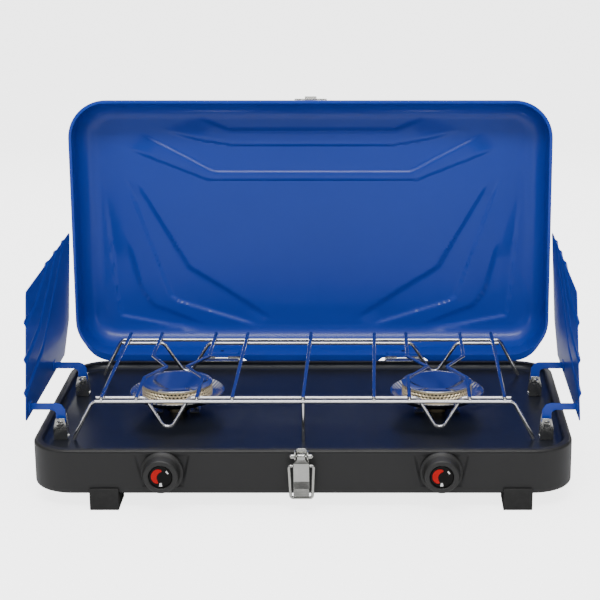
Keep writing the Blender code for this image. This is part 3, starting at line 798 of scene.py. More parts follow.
COATS = {
    Finish.ENAMEL: Coat((0.012, 0.012, 0.0125), (0.07, 0.07, 0.07), 0.42, specular=0.4, grain=900.0,
                        grain_depth=0.00005, wear=0.10),
    Finish.DECK: Coat((0.006, 0.008, 0.014), (0.04, 0.04, 0.05), 0.30, rough_spread=0.10, specular=0.35,
                      grain=160.0, grain_depth=0.00006, wear=0.04, dust=0.012),
    Finish.BLUE: Coat((0.0055, 0.040, 0.36), (0.02, 0.13, 0.55), 0.36, rough_spread=0.08, specular=0.4,
                      coat=0.2, coat_rough=0.14, grain=240.0, grain_share=0.7, grain_depth=0.00005,
                      wear=0.12, dust=0.0, tint_spread=0.12),
    Finish.CHROME: Coat((0.72, 0.72, 0.73), (0.50, 0.46, 0.40), 0.10, rough_spread=0.10, mark_size=30.0,
                        metal=1.0, grain=700.0, grain_depth=0.000008, wear=0.10, dust=0.0),
    Finish.ZINC: Coat((0.46, 0.46, 0.44), (0.70, 0.70, 0.66), 0.20, rough_spread=0.22, mark_size=70.0,
                      metal=1.0, grain=420.0, grain_depth=0.00002, wear=0.35, dust=0.02, drawn=True),
    Finish.BRASS: Coat((0.78, 0.66, 0.44), (0.90, 0.80, 0.56), 0.36, rough_spread=0.16, mark_size=60.0,
                       metal=0.85, grain=500.0, grain_depth=0.00002, wear=0.3),
    Finish.ALUMINIUM: Coat((0.60, 0.61, 0.62), (0.8, 0.8, 0.8), 0.30, rough_spread=0.12, mark_size=40.0,
                           metal=1.0, grain=300.0, grain_depth=0.00002, drawn=True),
    Finish.PLASTIC: Coat((0.018, 0.018, 0.018), (0.05, 0.05, 0.05), 0.46, specular=0.4, grain=1500.0,
                         grain_share=0.2, grain_depth=0.00005, wear=0.15),
    Finish.KNOB_GLOSS: Coat((0.003, 0.003, 0.003), (0.02, 0.02, 0.02), 0.10, rough_spread=0.04,
                            specular=0.12, grain=200.0, grain_depth=0.000005, wear=0.0, dust=0.0),
    Finish.RUBBER: Coat((0.014, 0.014, 0.014), (0.05, 0.05, 0.05), 0.68, grain=1100.0,
                        grain_depth=0.00006, wear=0.25, dust=0.05, specular=0.3),
    Finish.RED_PRINT: Coat((0.45, 0.0, 0.0), (0.5, 0.01, 0.01), 0.40, grain=600.0,
                           grain_depth=0.000005, wear=0.0, dust=0.0, specular=0.2),
    # Also the colour of the knob's painted highlight, which stands in for a reflection.
    Finish.WHITE_PRINT: Coat((0.80, 0.80, 0.80), (0.8, 0.8, 0.8), 0.35, grain=600.0,
                             grain_depth=0.000005, wear=0.0, dust=0.0),
    # Painted shade: a near-black colour standing in for the dark inside the flame holes and the hinge
    # tabs' holes.
    Finish.HOLE: Coat((0.004, 0.004, 0.003), (0.01, 0.01, 0.01), 0.8, grain=600.0, wear=0.0, dust=0.0),
}


def paint_shop() -> dict[Finish, bpy.types.Material]:
    """Every finish as a material, all fed by one set of shared groups.

    Returns:
        The materials by finish.
    """
    groups = {"grain": grain_group(), "handling": handling_group(), "edges": edge_group(),
              "dust": dust_group(), "drawn": brushed_group()}
    return {look: coat.build(look.value, groups) for look, coat in COATS.items()}


# ---------------------------------------------------------------- camera, floor and light
@dataclass(frozen=True)
class Lamp:
    """One soft rectangular light: its place and aim in metres, its width and height, its watts."""

    name: str
    place: tuple[float, float, float]
    aim: tuple[float, float, float]
    size: tuple[float, float]
    watts: float
    mirrored: bool = True

    def hang(self) -> None:
        """Hangs the light; glossy surfaces show it only if it is mirrored."""
        data = bpy.data.lights.new(self.name, "AREA")
        data.shape, data.energy = "RECTANGLE", self.watts
        data.size, data.size_y = self.size
        lamp = bpy.data.objects.new(self.name, data)
        lamp.location = self.place
        aim = Vector(self.aim) - Vector(self.place)
        lamp.rotation_euler = aim.to_track_quat("-Z", "Y").to_euler()
        lamp.visible_camera, lamp.visible_glossy = False, self.mirrored
        bpy.context.scene.collection.objects.link(lamp)


LAMPS = (
    Lamp("key", (-0.1, -1.15, 1.7), (0.0, 0.1, 0.2), (1.5, 0.4), 24.0),
    Lamp("front", (0.1, -2.6, 0.9), (0.0, 0.1, 0.2), (0.9, 0.9), 12.0, mirrored=False),
    Lamp("back", (0.0, 1.5, 0.8), (0.0, 0.15, 0.35), (2.2, 0.5), 9.0),
    Lamp("left", (-1.7, -1.4, 0.5), (0.0, 0.15, 0.25), (0.25, 1.2), 3.0),
    Lamp("right", (1.7, -1.4, 0.5), (0.0, 0.15, 0.25), (0.25, 1.2), 3.0),
    Lamp("top", (0.0, 0.1, 1.8), (0.0, 0.1, 0.0), (1.6, 0.7), 6.0),
)


@dataclass
class Studio:
    """The camera, a plain pale floor and soft light."""

    camera_at: tuple[float, float, float] = (0.075, -1.77205, 0.668)
    tilt: float = 74.23
    lens: float = 104.29
    shift_x: float = -0.1298
    floor_half: float = 40.0
    floor_colour: tuple[float, float, float] = (0.93, 0.93, 0.93)
    floor_glow: float = 3.2
    sky_low: float = 0.07
    sky_high: float = 0.8
    sky_start: float = 0.25
    sky_slope: float = 1.8

    def camera(self) -> None:
        """Makes the camera at the stove's viewing angle."""
        data = bpy.data.cameras.new("camera")
        data.lens, data.sensor_width, data.shift_x = self.lens, 36.0, self.shift_x
        data.clip_start, data.clip_end = 0.01, 50.0
        camera = bpy.data.objects.new("camera", data)
        camera.location = self.camera_at
        camera.rotation_euler = (np.radians(self.tilt), 0.0, 0.0)
        bpy.context.scene.collection.objects.link(camera)
        bpy.context.scene.camera = camera

    def floor(self) -> None:
        """Lays the pale floor, which isn't part of the stove."""
        half = self.floor_half
        mesh = bpy.data.meshes.new("floor")
        mesh.from_pydata([(-half, -half, 0), (half, -half, 0), (half, half, 0), (-half, half, 0)], [],
                         [(0, 1, 2, 3)])
        paint = bpy.data.materials.new("floor")
        paint.use_nodes = True
        shader = paint.node_tree.nodes["Principled BSDF"]
        shader.inputs["Base Color"].default_value = (*self.floor_colour, 1.0)
        shader.inputs["Roughness"].default_value = 0.9
        shader.inputs["Emission Color"].default_value = (1.0, 1.0, 1.0, 1.0)
        seen = paint.node_tree.nodes.new("ShaderNodeLightPath").outputs["Is Camera Ray"]
        glow = math_node(paint.node_tree, "MULTIPLY", seen, self.floor_glow)
        paint.node_tree.links.new(glow, shader.inputs["Emission Strength"])
        mesh.materials.append(paint)
        floor = bpy.data.objects.new("floor", mesh)
        bpy.context.scene.collection.objects.link(floor)

    def build(self) -> None:
        """Sets up the camera, the floor and the lights."""
        self.camera()
        self.floor()
        self.sky()
        for lamp in LAMPS:
            lamp.hang()

    def sky(self) -> None:
        """Lights from all round: dim at the sides and brighter overhead, by the height looked at."""
        world = bpy.data.worlds.new("studio")
        world.use_nodes = True
        tree = world.node_tree
        split = tree.nodes.new("ShaderNodeSeparateXYZ")
        tree.links.new(tree.nodes.new("ShaderNodeTexCoord").outputs["Generated"], split.inputs[0])
        above = math_node(tree, "SUBTRACT", split.outputs["Z"], self.sky_start, True)
        lift = math_node(tree, "MULTIPLY", above, self.sky_slope, True)
        level = math_node(tree, "MULTIPLY", lift, self.sky_high - self.sky_low)
        tree.links.new(math_node(tree, "ADD", level, self.sky_low),
                       tree.nodes["Background"].inputs["Strength"])
        tree.nodes["Background"].inputs["Color"].default_value = (1.0, 1.0, 1.0, 1.0)
        bpy.context.scene.world = world


# ---------------------------------------------------------------- case
@dataclass
class Case(Assembly):
    """The pressed black case, its sunk deck and its moulded feet."""

    width: float = 540.0
    depth: float = 292.0
    corner: float = 42.0
    floor_z: float = 16.0
    rim_z: float = 62.0
    wall: float = 1.2
    foot_fillet: float = 4.0
    rim_roll: float = 3.0
    rim_width: float = 8.0
    deck_z: float = 54.0
    deck_sheet: float = 0.8
    deck_fillet: float = 9.0
    knob_x: float = BURNER_X
    knob_z: float = 40.0
    pad_depth: float = 0.8
    pad_half: float = 21.0
    pad_spread: float = 0.21
    pad_low: float = 23.5
    pad_high: float = 58.0
    stem_hole: float = 5.0
    inlet_y: float = -62.0
    inlet_z: float = 38.0
    inlet_hole: float = 12.0
    throat_hole: float = 12.0
    foot_x: tuple[float, float] = (-195.5, 213.5)

    def samples(self) -> Array:
        """Samples along the front wall, closer together behind the knobs, from -1 to 1.

        Returns:
            The samples, rising.
        """
        half = self.width / 2 - self.corner
        fine = np.arange(-34.0, 34.5, 1.0)
        coarse = np.linspace(-half, half, 45)
        near = np.abs(np.abs(coarse) - self.knob_x) < 36.0
        xs = np.sort(np.concatenate([coarse[~near], fine - self.knob_x, fine + self.knob_x]))
        return xs / half

    def pressed_pads(self, points: Array) -> Array:
        """Presses a shallow trapezoid into the front wall behind each knob.

        The depth is a smooth step of the distance inside the trapezoid's sloping sides, top and
        bottom, taken as the least of the four.

        Args:
            points: the case's points.

        Returns:
            The points, moved back along Y inside the trapezoids.
        """
        x, y, z = points.T
        across = np.abs(np.abs(x) - self.knob_x)
        half = self.pad_half + (z - 25.0) * self.pad_spread
        inside = np.minimum.reduce([half - across, z - self.pad_low, self.pad_high - z])
        front = (y < -self.depth / 2 + self.wall + 0.3) & (z > 20.0)
        return points + np.stack([0 * x, self.pad_depth * ease(inside / 2.4) * front, 0 * x], 1)

    def shell_profile(self) -> tuple[Array, Array]:
        """The wall's cut shape, from the middle of the underside round the rim to the inside.

        Returns:
            The insets and the heights of the nested outlines.
        """
        a = np.linspace(0, np.pi / 2, 6)
        fillet, roll, wall = self.foot_fillet, self.rim_roll, self.wall
        small = roll - wall
        parts = [
            ([140.0, 20.0], [self.floor_z] * 2),
            (fillet * (1 - np.sin(a)), self.floor_z + fillet * (1 - np.cos(a))),
            (np.zeros(34), np.linspace(self.floor_z + fillet + 1, self.rim_z - roll - 1.2, 34)),
            ([0.0], [self.rim_z - roll - 0.5]),
            (roll * (1 - np.cos(a)), self.rim_z - roll * (1 - np.sin(a))),
            ([self.rim_width - 0.6, self.rim_width - 0.15, self.rim_width],
             [self.rim_z, self.rim_z - 0.15, self.rim_z - 0.6]),
            ([self.rim_width, self.rim_width - 0.5], [self.rim_z - wall + 0.1, self.rim_z - wall]),
            ((wall + small * (1 - np.cos(a)))[::-1], (self.rim_z - roll + small * np.sin(a))[::-1]),
            (np.full(34, wall), np.linspace(self.rim_z - roll - 1.2, self.floor_z + fillet + 1, 34)),
            ([fillet, 20.0, 140.0], [self.floor_z + wall] * 3),
        ]
        return (np.concatenate([np.asarray(i, float) for i, _ in parts]),
                np.concatenate([np.asarray(h, float) for _, h in parts]))

    def build(self) -> None:
        """Builds the shell, the deck and the feet."""
        inset, height = self.shell_profile()
        grid = rim_ring(self.width, self.depth, self.corner, inset, height, self.samples(),
                        np.linspace(-1, 1, 24), 18)
        skin = Skin().add(grid, Finish.ENAMEL)
        shell = self.mesh("case_shell", skin, "base", ["base_case"], move=self.pressed_pads)
        holes = [self.plug(f"stem_{side.label}",
                           (side.value * self.knob_x, -self.depth / 2, self.knob_z),
                           self.stem_hole, "Y") for side in Side]
        inlet = (self.width / 2, self.inlet_y, self.inlet_z)
        holes.append(self.plug("inlet", inlet, self.inlet_hole, "X"))
        bore(shell, holes)
        self.deck()
        self.feet()

    def deck(self) -> None:
        """Builds the glossy sunk deck with its dished border."""
        edge = self.rim_z - self.wall - 0.3
        drop, lip, tuck = edge - self.deck_z, self.rim_width + 0.4, 3.2
        a = np.linspace(0, np.pi / 2, 9)
        sweep, sink = lip + self.deck_fillet * (1 - np.cos(a)), edge - drop * np.sin(a)
        fill = np.linspace(lip + self.deck_fillet, 130.0, 5)[1:]
        top_i = np.concatenate([[tuck], sweep, fill])
        top_h = np.concatenate([[edge], sink, np.full(4, self.deck_z)])
        inset = np.concatenate([top_i[::-1], top_i])
        height = np.concatenate([top_h[::-1], top_h - self.deck_sheet])
        grid = rim_ring(self.width, self.depth, self.corner, inset, height, np.linspace(-1, 1, 41),
                        np.linspace(-1, 1, 21), 20)
        deck = self.mesh("deck_pan", Skin().add(grid, Finish.DECK), "base", ["deck_tray"])
        bore(deck, [self.plug(f"throat_{side.label}",
                              (side.value * self.knob_x, 0.0, self.deck_z),
                              self.throat_hole, "Z") for side in Side])

    def feet(self) -> None:
        """Builds the feet, each with a lip over the wall and shallow grip lines below."""
        face, lip, top, deep, width = self.depth / 2 + 0.3, 3.0, 22.5, 34.0, 29.0
        a = np.linspace(0, np.pi / 2, 5)
        curve = self.foot_fillet + 0.3
        hug = np.stack([-(face - curve * (1 - np.sin(a))), 15.7 + curve * (1 - np.cos(a))], 1)
        grip_y = np.linspace(-(face - 4), -(face - deep + 4), 13)
        grip = np.stack([grip_y, np.where(np.arange(13) % 2, 0.9, 0.0)], 1)
        outline = np.vstack([[-(face + lip), 1.0], [-(face + lip - 1.0), 0.0], grip,
                             [-(face - deep + 1), 0.0], [-(face - deep), 1.0],
                             [-(face - deep), 15.7], hug, [-face, top - 0.6], [-face - 0.6, top],
                             [-(face + lip - 1.0), top], [-(face + lip), top - 1.2]])
        for end, sign in (("front", 1.0), ("rear", -1.0)):
            for side, x in zip(Side, self.foot_x):
                shape = outline * [sign, 1.0]
                grid = prism_grid(shape, x - width / 2, x + width / 2, "YZ", 0.8)
                self.mesh(f"rubber_foot_{end}_{side.label}", Skin().add(grid, Finish.RUBBER),
                          "base", [f"foot_{end}_{side.label}"])


# ---------------------------------------------------------------- burners
@dataclass
class Burner(Assembly):
    """One burner: its strap, fluted dish, perforated ring and polished cap."""

    side: Side
    x: float = BURNER_X
    throat: float = 9.0
    bowl_foot: float = 64.0
    bowl_rim: float = 75.0
    bowl_radius: float = 50.0
    head_radius: float = 37.0
    head_low: float = 68.6
    head_top: float = 84.0
    flutes: int = 60
    holes_round: int = 56
    hole_rows: int = 3

    @property
    def centre(self) -> tuple[float, float, float]:
        """The point on the burner's axis at ground level."""
        return (self.side.value * self.x, 0.0, 0.0)

    def bowl(self) -> None:
        """Builds the dish; its lip is fluted by a cosine that fades in towards the rim."""
        foot, rim, sheet, throat = self.bowl_foot, self.bowl_rim, 0.8, self.throat + 0.3
        outer = np.array([[foot - 0.7, throat], [foot - 0.7, 24.0], [foot + 0.2, 29.0],
                          [foot + 2.5, 38.0], [rim - 4.5, 44.5], [rim - 2.0, 47.5],
                          [rim - 0.6, 49.2], [rim, self.bowl_radius]])
        inner = outer[::-1] + [sheet, -0.45]
        inner[-1, 1] = throat
        profile = np.vstack([outer, inner])
        profile[:, 0] = np.minimum(profile[:, 0], rim + sheet)
        strength = ease((profile[:, 1] - 38.0) / 7.0) * 0.9

        def flute(row: Array, angle: Array) -> Array:
            """The radius added at a row and angle: strength times a cosine of the angle."""
            return strength[row.astype(int)] * (np.cos(angle * self.flutes) * 0.5 - 0.5)

        grid = turned_grid(profile, self.flutes * 6, self.centre, "Z", flute)
        self.mesh(f"dish_{self.side.label}", Skin().add(grid, Finish.CHROME, loop=True), "base",
                  [f"burner_bowl_{self.side.label}"])

    def head(self) -> None:
        """Builds the ring with its rows of flame holes, each a sunk square with cut corners whose floor
        is painted near-black: painted shade standing in for the dark inside a through hole.
        """
        low, top, radius, throat = self.head_low, self.head_top, self.head_radius, self.throat
        body = np.array([[52.0, throat], [low - 1, throat], [low, 15.0], [low + 1.5, 33.0],
                         [low + 2.6, radius - 0.5], [low + 3.2, radius]])
        rows = np.linspace(low + 5.0, top - 1.2, self.hole_rows * 4 + 1)
        wall = np.stack([rows, np.full(len(rows), radius)], 1)
        rest = np.array([[top - 0.3, radius], [top, radius - 0.3], [top, radius - 2],
                         [low + 3.5, radius - 2], [low + 3, 30.0], [low + 1.5, 12.0],
                         [low, throat - 1.5], [52.0, throat - 1.5]])
        profile = np.vstack([body, wall, rest])
        columns = self.holes_round * 4
        grid = turned_grid(profile, columns, self.centre, "Z")
        r = np.arange(len(profile))[:, None] - len(body)
        c = np.arange(columns)[None]
        in_wall = (r > 0) & (r < self.hole_rows * 4)
        shift = np.where((r // 4) % 2 == 1, 2, 0)
        across = (c + shift) % 4
        deep = in_wall & (r % 4 != 0) & (across != 0) & ~((r % 4 != 2) & (across != 2))
        axis = np.array([self.centre[0], 0.0])
        spoke = unit(grid[..., :2] - axis)
        grid[..., :2] -= spoke * np.where(deep, 1.3, 0.0)[..., None]
        skin = Skin().add(grid, Finish.BRASS, loop=True)
        # The floors of the sunk squares get the near-black hole finish, painted shade in place of the
        # dark inside a through hole.
        below = deep.astype(int) + np.roll(deep, -1, 1)
        skin.looks.append(Finish.HOLE)
        skin.finishes = (below + np.roll(below, -1, 0) >= 3).astype(int).reshape(-1).tolist()
        self.mesh(f"flame_ring_{self.side.label}", skin, "base", [f"burner_head_{self.side.label}"],
                  sharp=30.0)

    def cap(self) -> None:
        """Builds the polished cap with its sloping edge and a slight crown."""
        base, radius = self.head_top + 0.3, 36.0
        profile = smooth_profile([[base - 3.5, 0.02], [base - 3.5, radius - 1.6], [base, radius - 1.6],
                                  [base, radius + 1.4], [base + 0.9, radius + 1.2],
                                  [base + 2.0, radius - 3.5], [base + 2.35, radius - 7.0],
                                  [base + 2.4, radius - 12.0], [base + 2.4, 0.02]], 0.5)
        self.mesh(f"polished_cap_{self.side.label}",
                  Skin().add(turned_grid(profile, 120, self.centre), Finish.CHROME), "base",
                  [f"burner_cap_{self.side.label}"], sharp=50.0)

    def strap(self) -> None:
        """Builds the bent strap that carries the burner, with a screw head in each wing."""
        x, low, top, t, w = self.side.value * self.x, 54.3, self.bowl_foot - 1.0, 1.2, 15.0
        shape = [(-w - 9, low), (-w + t, low), (-w + t, top - t), (w - t, top - t), (w - t, low),
                 (w + 9, low), (w + 9, low + t), (w, low + t), (w, top), (-w, top), (-w, low + t),
                 (-w - 9, low + t)]
        outline = closed_outline(shape, 0.9)
        outline[:, 0] += x
        skin = Skin().add(prism_grid(outline, -14.0, 14.0, "XZ", 0.25), Finish.ZINC)
        screw = smooth_profile([[0.0, 2.6], [0.6, 2.6], [1.3, 1.6], [1.35, 1.0], [0.7, 0.9],
                                [0.7, 0.02]], 0.25)
        for sign in (-1, 1):
            skin.add(turned_grid(screw, 24, (x + sign * (w + 4.6), 0.0, low + t)), Finish.ZINC)
        strap = self.mesh(f"bent_strap_{self.side.label}", skin, "base",
                          [f"burner_strap_{self.side.label}"], sharp=35.0)
        bore(strap, [self.plug(f"strap_{self.side.label}", (x, 0.0, top + 2.0), 9.3, "Z")], 35.0)

    def build(self) -> None:
        """Builds the burner's pieces."""
        self.bowl()
        self.head()
        self.cap()
        self.strap()


# ---------------------------------------------------------------- knobs
@dataclass
class Knob(Assembly):
    """One control knob: a flanged grip, a glossy pressed-in disc, its printed heat mark and a painted
    highlight.
    """

    side: Side
    x: float = BURNER_X
    z: float = 40.0
    wall: float = FRONT_WALL
    flange: float = 21.0
    face: float = 17.0
    length: float = 16.0

    def build(self) -> None:
        """Builds the grip, and the disc with its prints and a white painted highlight."""
        side, wall, front = self.side.label, self.wall, self.wall - self.length
        centre = (self.side.value * self.x, 0.0, self.z)
        grip = smooth_profile([[wall, 5.0], [wall, self.flange - 0.2], [wall - 3.0, self.flange],
                               [wall - 4.4, self.flange - 1.9], [wall - 6.0, self.flange - 2.9],
                               [front + 1.0, self.face], [front, self.face - 1.3], [front, 12.6],
                               [front + 0.5, 11.9], [front + 2.6, 11.8], [front + 2.6, 5.0]], 0.6, 4)
        self.mesh(f"grip_{side}",
                  Skin().add(turned_grid(grip, 96, centre, "Y"), Finish.PLASTIC, loop=True),
                  f"knob_{side}", [f"knob_{side}"], sharp=50.0)
        disc = smooth_profile([[front + 2.3, 0.02], [front + 2.3, 11.6], [front + 1.1, 11.6],
                               [front + 0.6, 11.0], [front + 0.9, 10.2], [front + 0.9, 0.02]], 0.3)
        skin = Skin().add(turned_grid(disc, 72, centre, "Y"), Finish.KNOB_GLOSS)
        skin.add(self.print_and_highlight_patch(centre, front + 0.86, 200.0, 374.0, 3.6, 9.3, True), Finish.RED_PRINT)
        skin.add(self.print_and_highlight_patch(centre, front + 0.86, 171.0, 189.0, 6.2, 9.6, False),
                 Finish.WHITE_PRINT)
        # Painted highlight: this white arc at one to two o'clock stands in for a reflection on the
        # glossy disc; it is not a print.
        skin.add(self.print_and_highlight_patch(centre, front + 0.86, 44.0, 66.0, 7.6, 9.0, False),
                 Finish.WHITE_PRINT)
        self.mesh(f"marked_disc_{side}", skin, f"knob_{side}", [f"knob_centre_{side}"])

    @staticmethod
    def print_and_highlight_patch(centre: Sequence[float], level: float, start: float, end: float, inner: float,
                    outer: float, taper: bool) -> Array:
        """An arc a hair thick, used for the prints and for the painted highlight, whose width swells
        along it where taper is set.

        The arc runs clockwise from 12 o'clock; its half-width is the full one times the square root
        of the sine of its share of the way.

        Args:
            centre: the disc's centre.
            level: where its face lies along Y.
            start: the first angle in degrees, clockwise from 12 o'clock.
            end: the last angle.
            inner: the inside radius.
            outer: the outside radius.
            taper: whether the ends come to points.

        Returns:
            A grid of points, rows along the arc, columns round its flat section.
        """
        share = np.linspace(0, 1, 40 if taper else 8)
        angle = np.radians(start + (end - start) * share)
        size = np.sqrt(np.maximum(np.sin(np.pi * share), 0.0016)) if taper else np.ones(len(share))
        middle, half = (inner + outer) / 2, (outer - inner) / 2
        low, high = middle - half * size, middle + half * size
        radius = np.stack([low, high, high, low], 1)
        y = np.array([level, level, level + 0.3, level + 0.3])[None] + 0 * radius
        y = y - np.array([0.06, 0.06, 0.0, 0.0])[None]
        return np.stack([centre[0] + radius * np.sin(angle)[:, None], y,
                         centre[2] + radius * np.cos(angle)[:, None]], -1)


# ---------------------------------------------------------------- grate
@dataclass
class Grate(Assembly):
    """The welded wire grate, one round wire for each node of the frame."""

    wire: float = 1.9
    cross_z: float = 101.0
    foot_z: float = 55.25
    reach: float = 211.0
    foot_x: float = 232.5
    burner_x: float = BURNER_X
    cross_x: tuple[float, ...] = (-202, -167, -106.5, -71, 0, 71, 106.5, 167, 202)
    weld_y: tuple[float, ...] = (-100.5, -88.5, 97.5, 110.0)
    kinked_x: tuple[float, ...] = (106.5, 167)
    kink_long: float = 37.0
    kink_tip: float = 10.5
    dip: float = 38.5
    dip_round: float = 7.5
    leg_round: float = 6.0
    centre_leg_y: float = -98.3

    @property
    def rail_z(self) -> float:
        """Height of the rails under the cross wires."""
        return self.cross_z - 2 * self.wire - 0.3

    def leg_rail(self, y: float, foot_y: float) -> Array:
        """The middle line of a rail that bends down into two legs.

        Args:
            y: the rail's place.
            foot_y: where its feet stand.

        Returns:
            The line's points.
        """
        return rounded_path([(-self.foot_x, foot_y, self.foot_z), (-self.reach, y, self.rail_z),
                             (self.reach, y, self.rail_z), (self.foot_x, foot_y, self.foot_z)],
                            self.leg_round, 10)

    def dip_rail(self, y: float, half: float) -> Array:
        """The middle line of a rail that dips in a V over each burner.

        Args:
            y: the rail's place.
            half: half the V's width.

        Returns:
            The line's points.
        """
        points = [(-self.reach + 2, y, self.rail_z)]
        for x in (-self.burner_x, self.burner_x):
            points += [(x - half, y, self.rail_z), (x, y, self.rail_z - self.dip),
                       (x + half, y, self.rail_z)]
        return rounded_path(points + [(self.reach - 2, y, self.rail_z)], self.dip_round, 10)

    def cross(self, x: float) -> Array:
        """The middle line of one cross wire; those beside a burner kink towards its middle.

        Args:
            x: the wire's place.

        Returns:
            The line's points.
        """
        ends = [(x, -102.5, self.cross_z), (x, 121.0, self.cross_z)]
        if abs(x) in self.kinked_x:
            middle = np.sign(x) * self.burner_x
            tip = middle + self.kink_tip * np.sign(x - middle)
            kink = [(x, -self.kink_long, self.cross_z), (tip, 0.0, self.cross_z),
                    (x, self.kink_long, self.cross_z)]
            return rounded_path([ends[0], *kink, ends[1]], 3.0, 8)
        return np.linspace(ends[0], ends[1], 5)

    def build(self) -> None:
        """Builds every wire as its own piece."""
        lines = {"grate_leg_rail_front": (self.leg_rail(-100.5, -93.0), (0, 1, 0)),
                 "grate_leg_rail_rear": (self.leg_rail(110.0, 111.5), (0, 1, 0)),
                 "grate_dip_rail_front": (self.dip_rail(-88.5, 22.0), (0, 1, 0)),
                 "grate_dip_rail_rear": (self.dip_rail(97.5, 25.0), (0, 1, 0))}
        for number, x in enumerate(self.cross_x, 1):
            lines[f"grate_cross_wire_{number}"] = (self.cross(x), (0, 0, 1))
        for node, (line, square_to) in lines.items():
            skin = Skin().add(tube_grid(line, self.wire, square_to, 18), Finish.CHROME)
            if node == "grate_leg_rail_front":
                leg = np.array([(0.0, self.centre_leg_y, z)
                                for z in (self.foot_z - 0.9, 75.0, self.rail_z + 0.4)])
                skin.add(tube_grid(leg, self.wire, (0, 1, 0), 18), Finish.CHROME)
            if node.startswith("grate_cross"):
                x = line[0, 0]
                for y in self.weld_y:
                    skin.add(self.weld(x, y), Finish.CHROME)
            self.mesh(node + "_round", skin, "grate", [node], sharp=60.0)

    def weld(self, x: float, y: float) -> Array:
        """A small weld bead where two wires cross: an oval turned about Z.

        Args:
            x: the crossing's X.
            y: its Y.

        Returns:
            A grid of points.
        """
        t = np.linspace(0.02, np.pi - 0.02, 7)
        z = (self.cross_z + self.rail_z) / 2
        return turned_grid(np.stack([-1.5 * np.cos(t), 1.75 * np.sin(t)], 1), 12, (x, y, z))


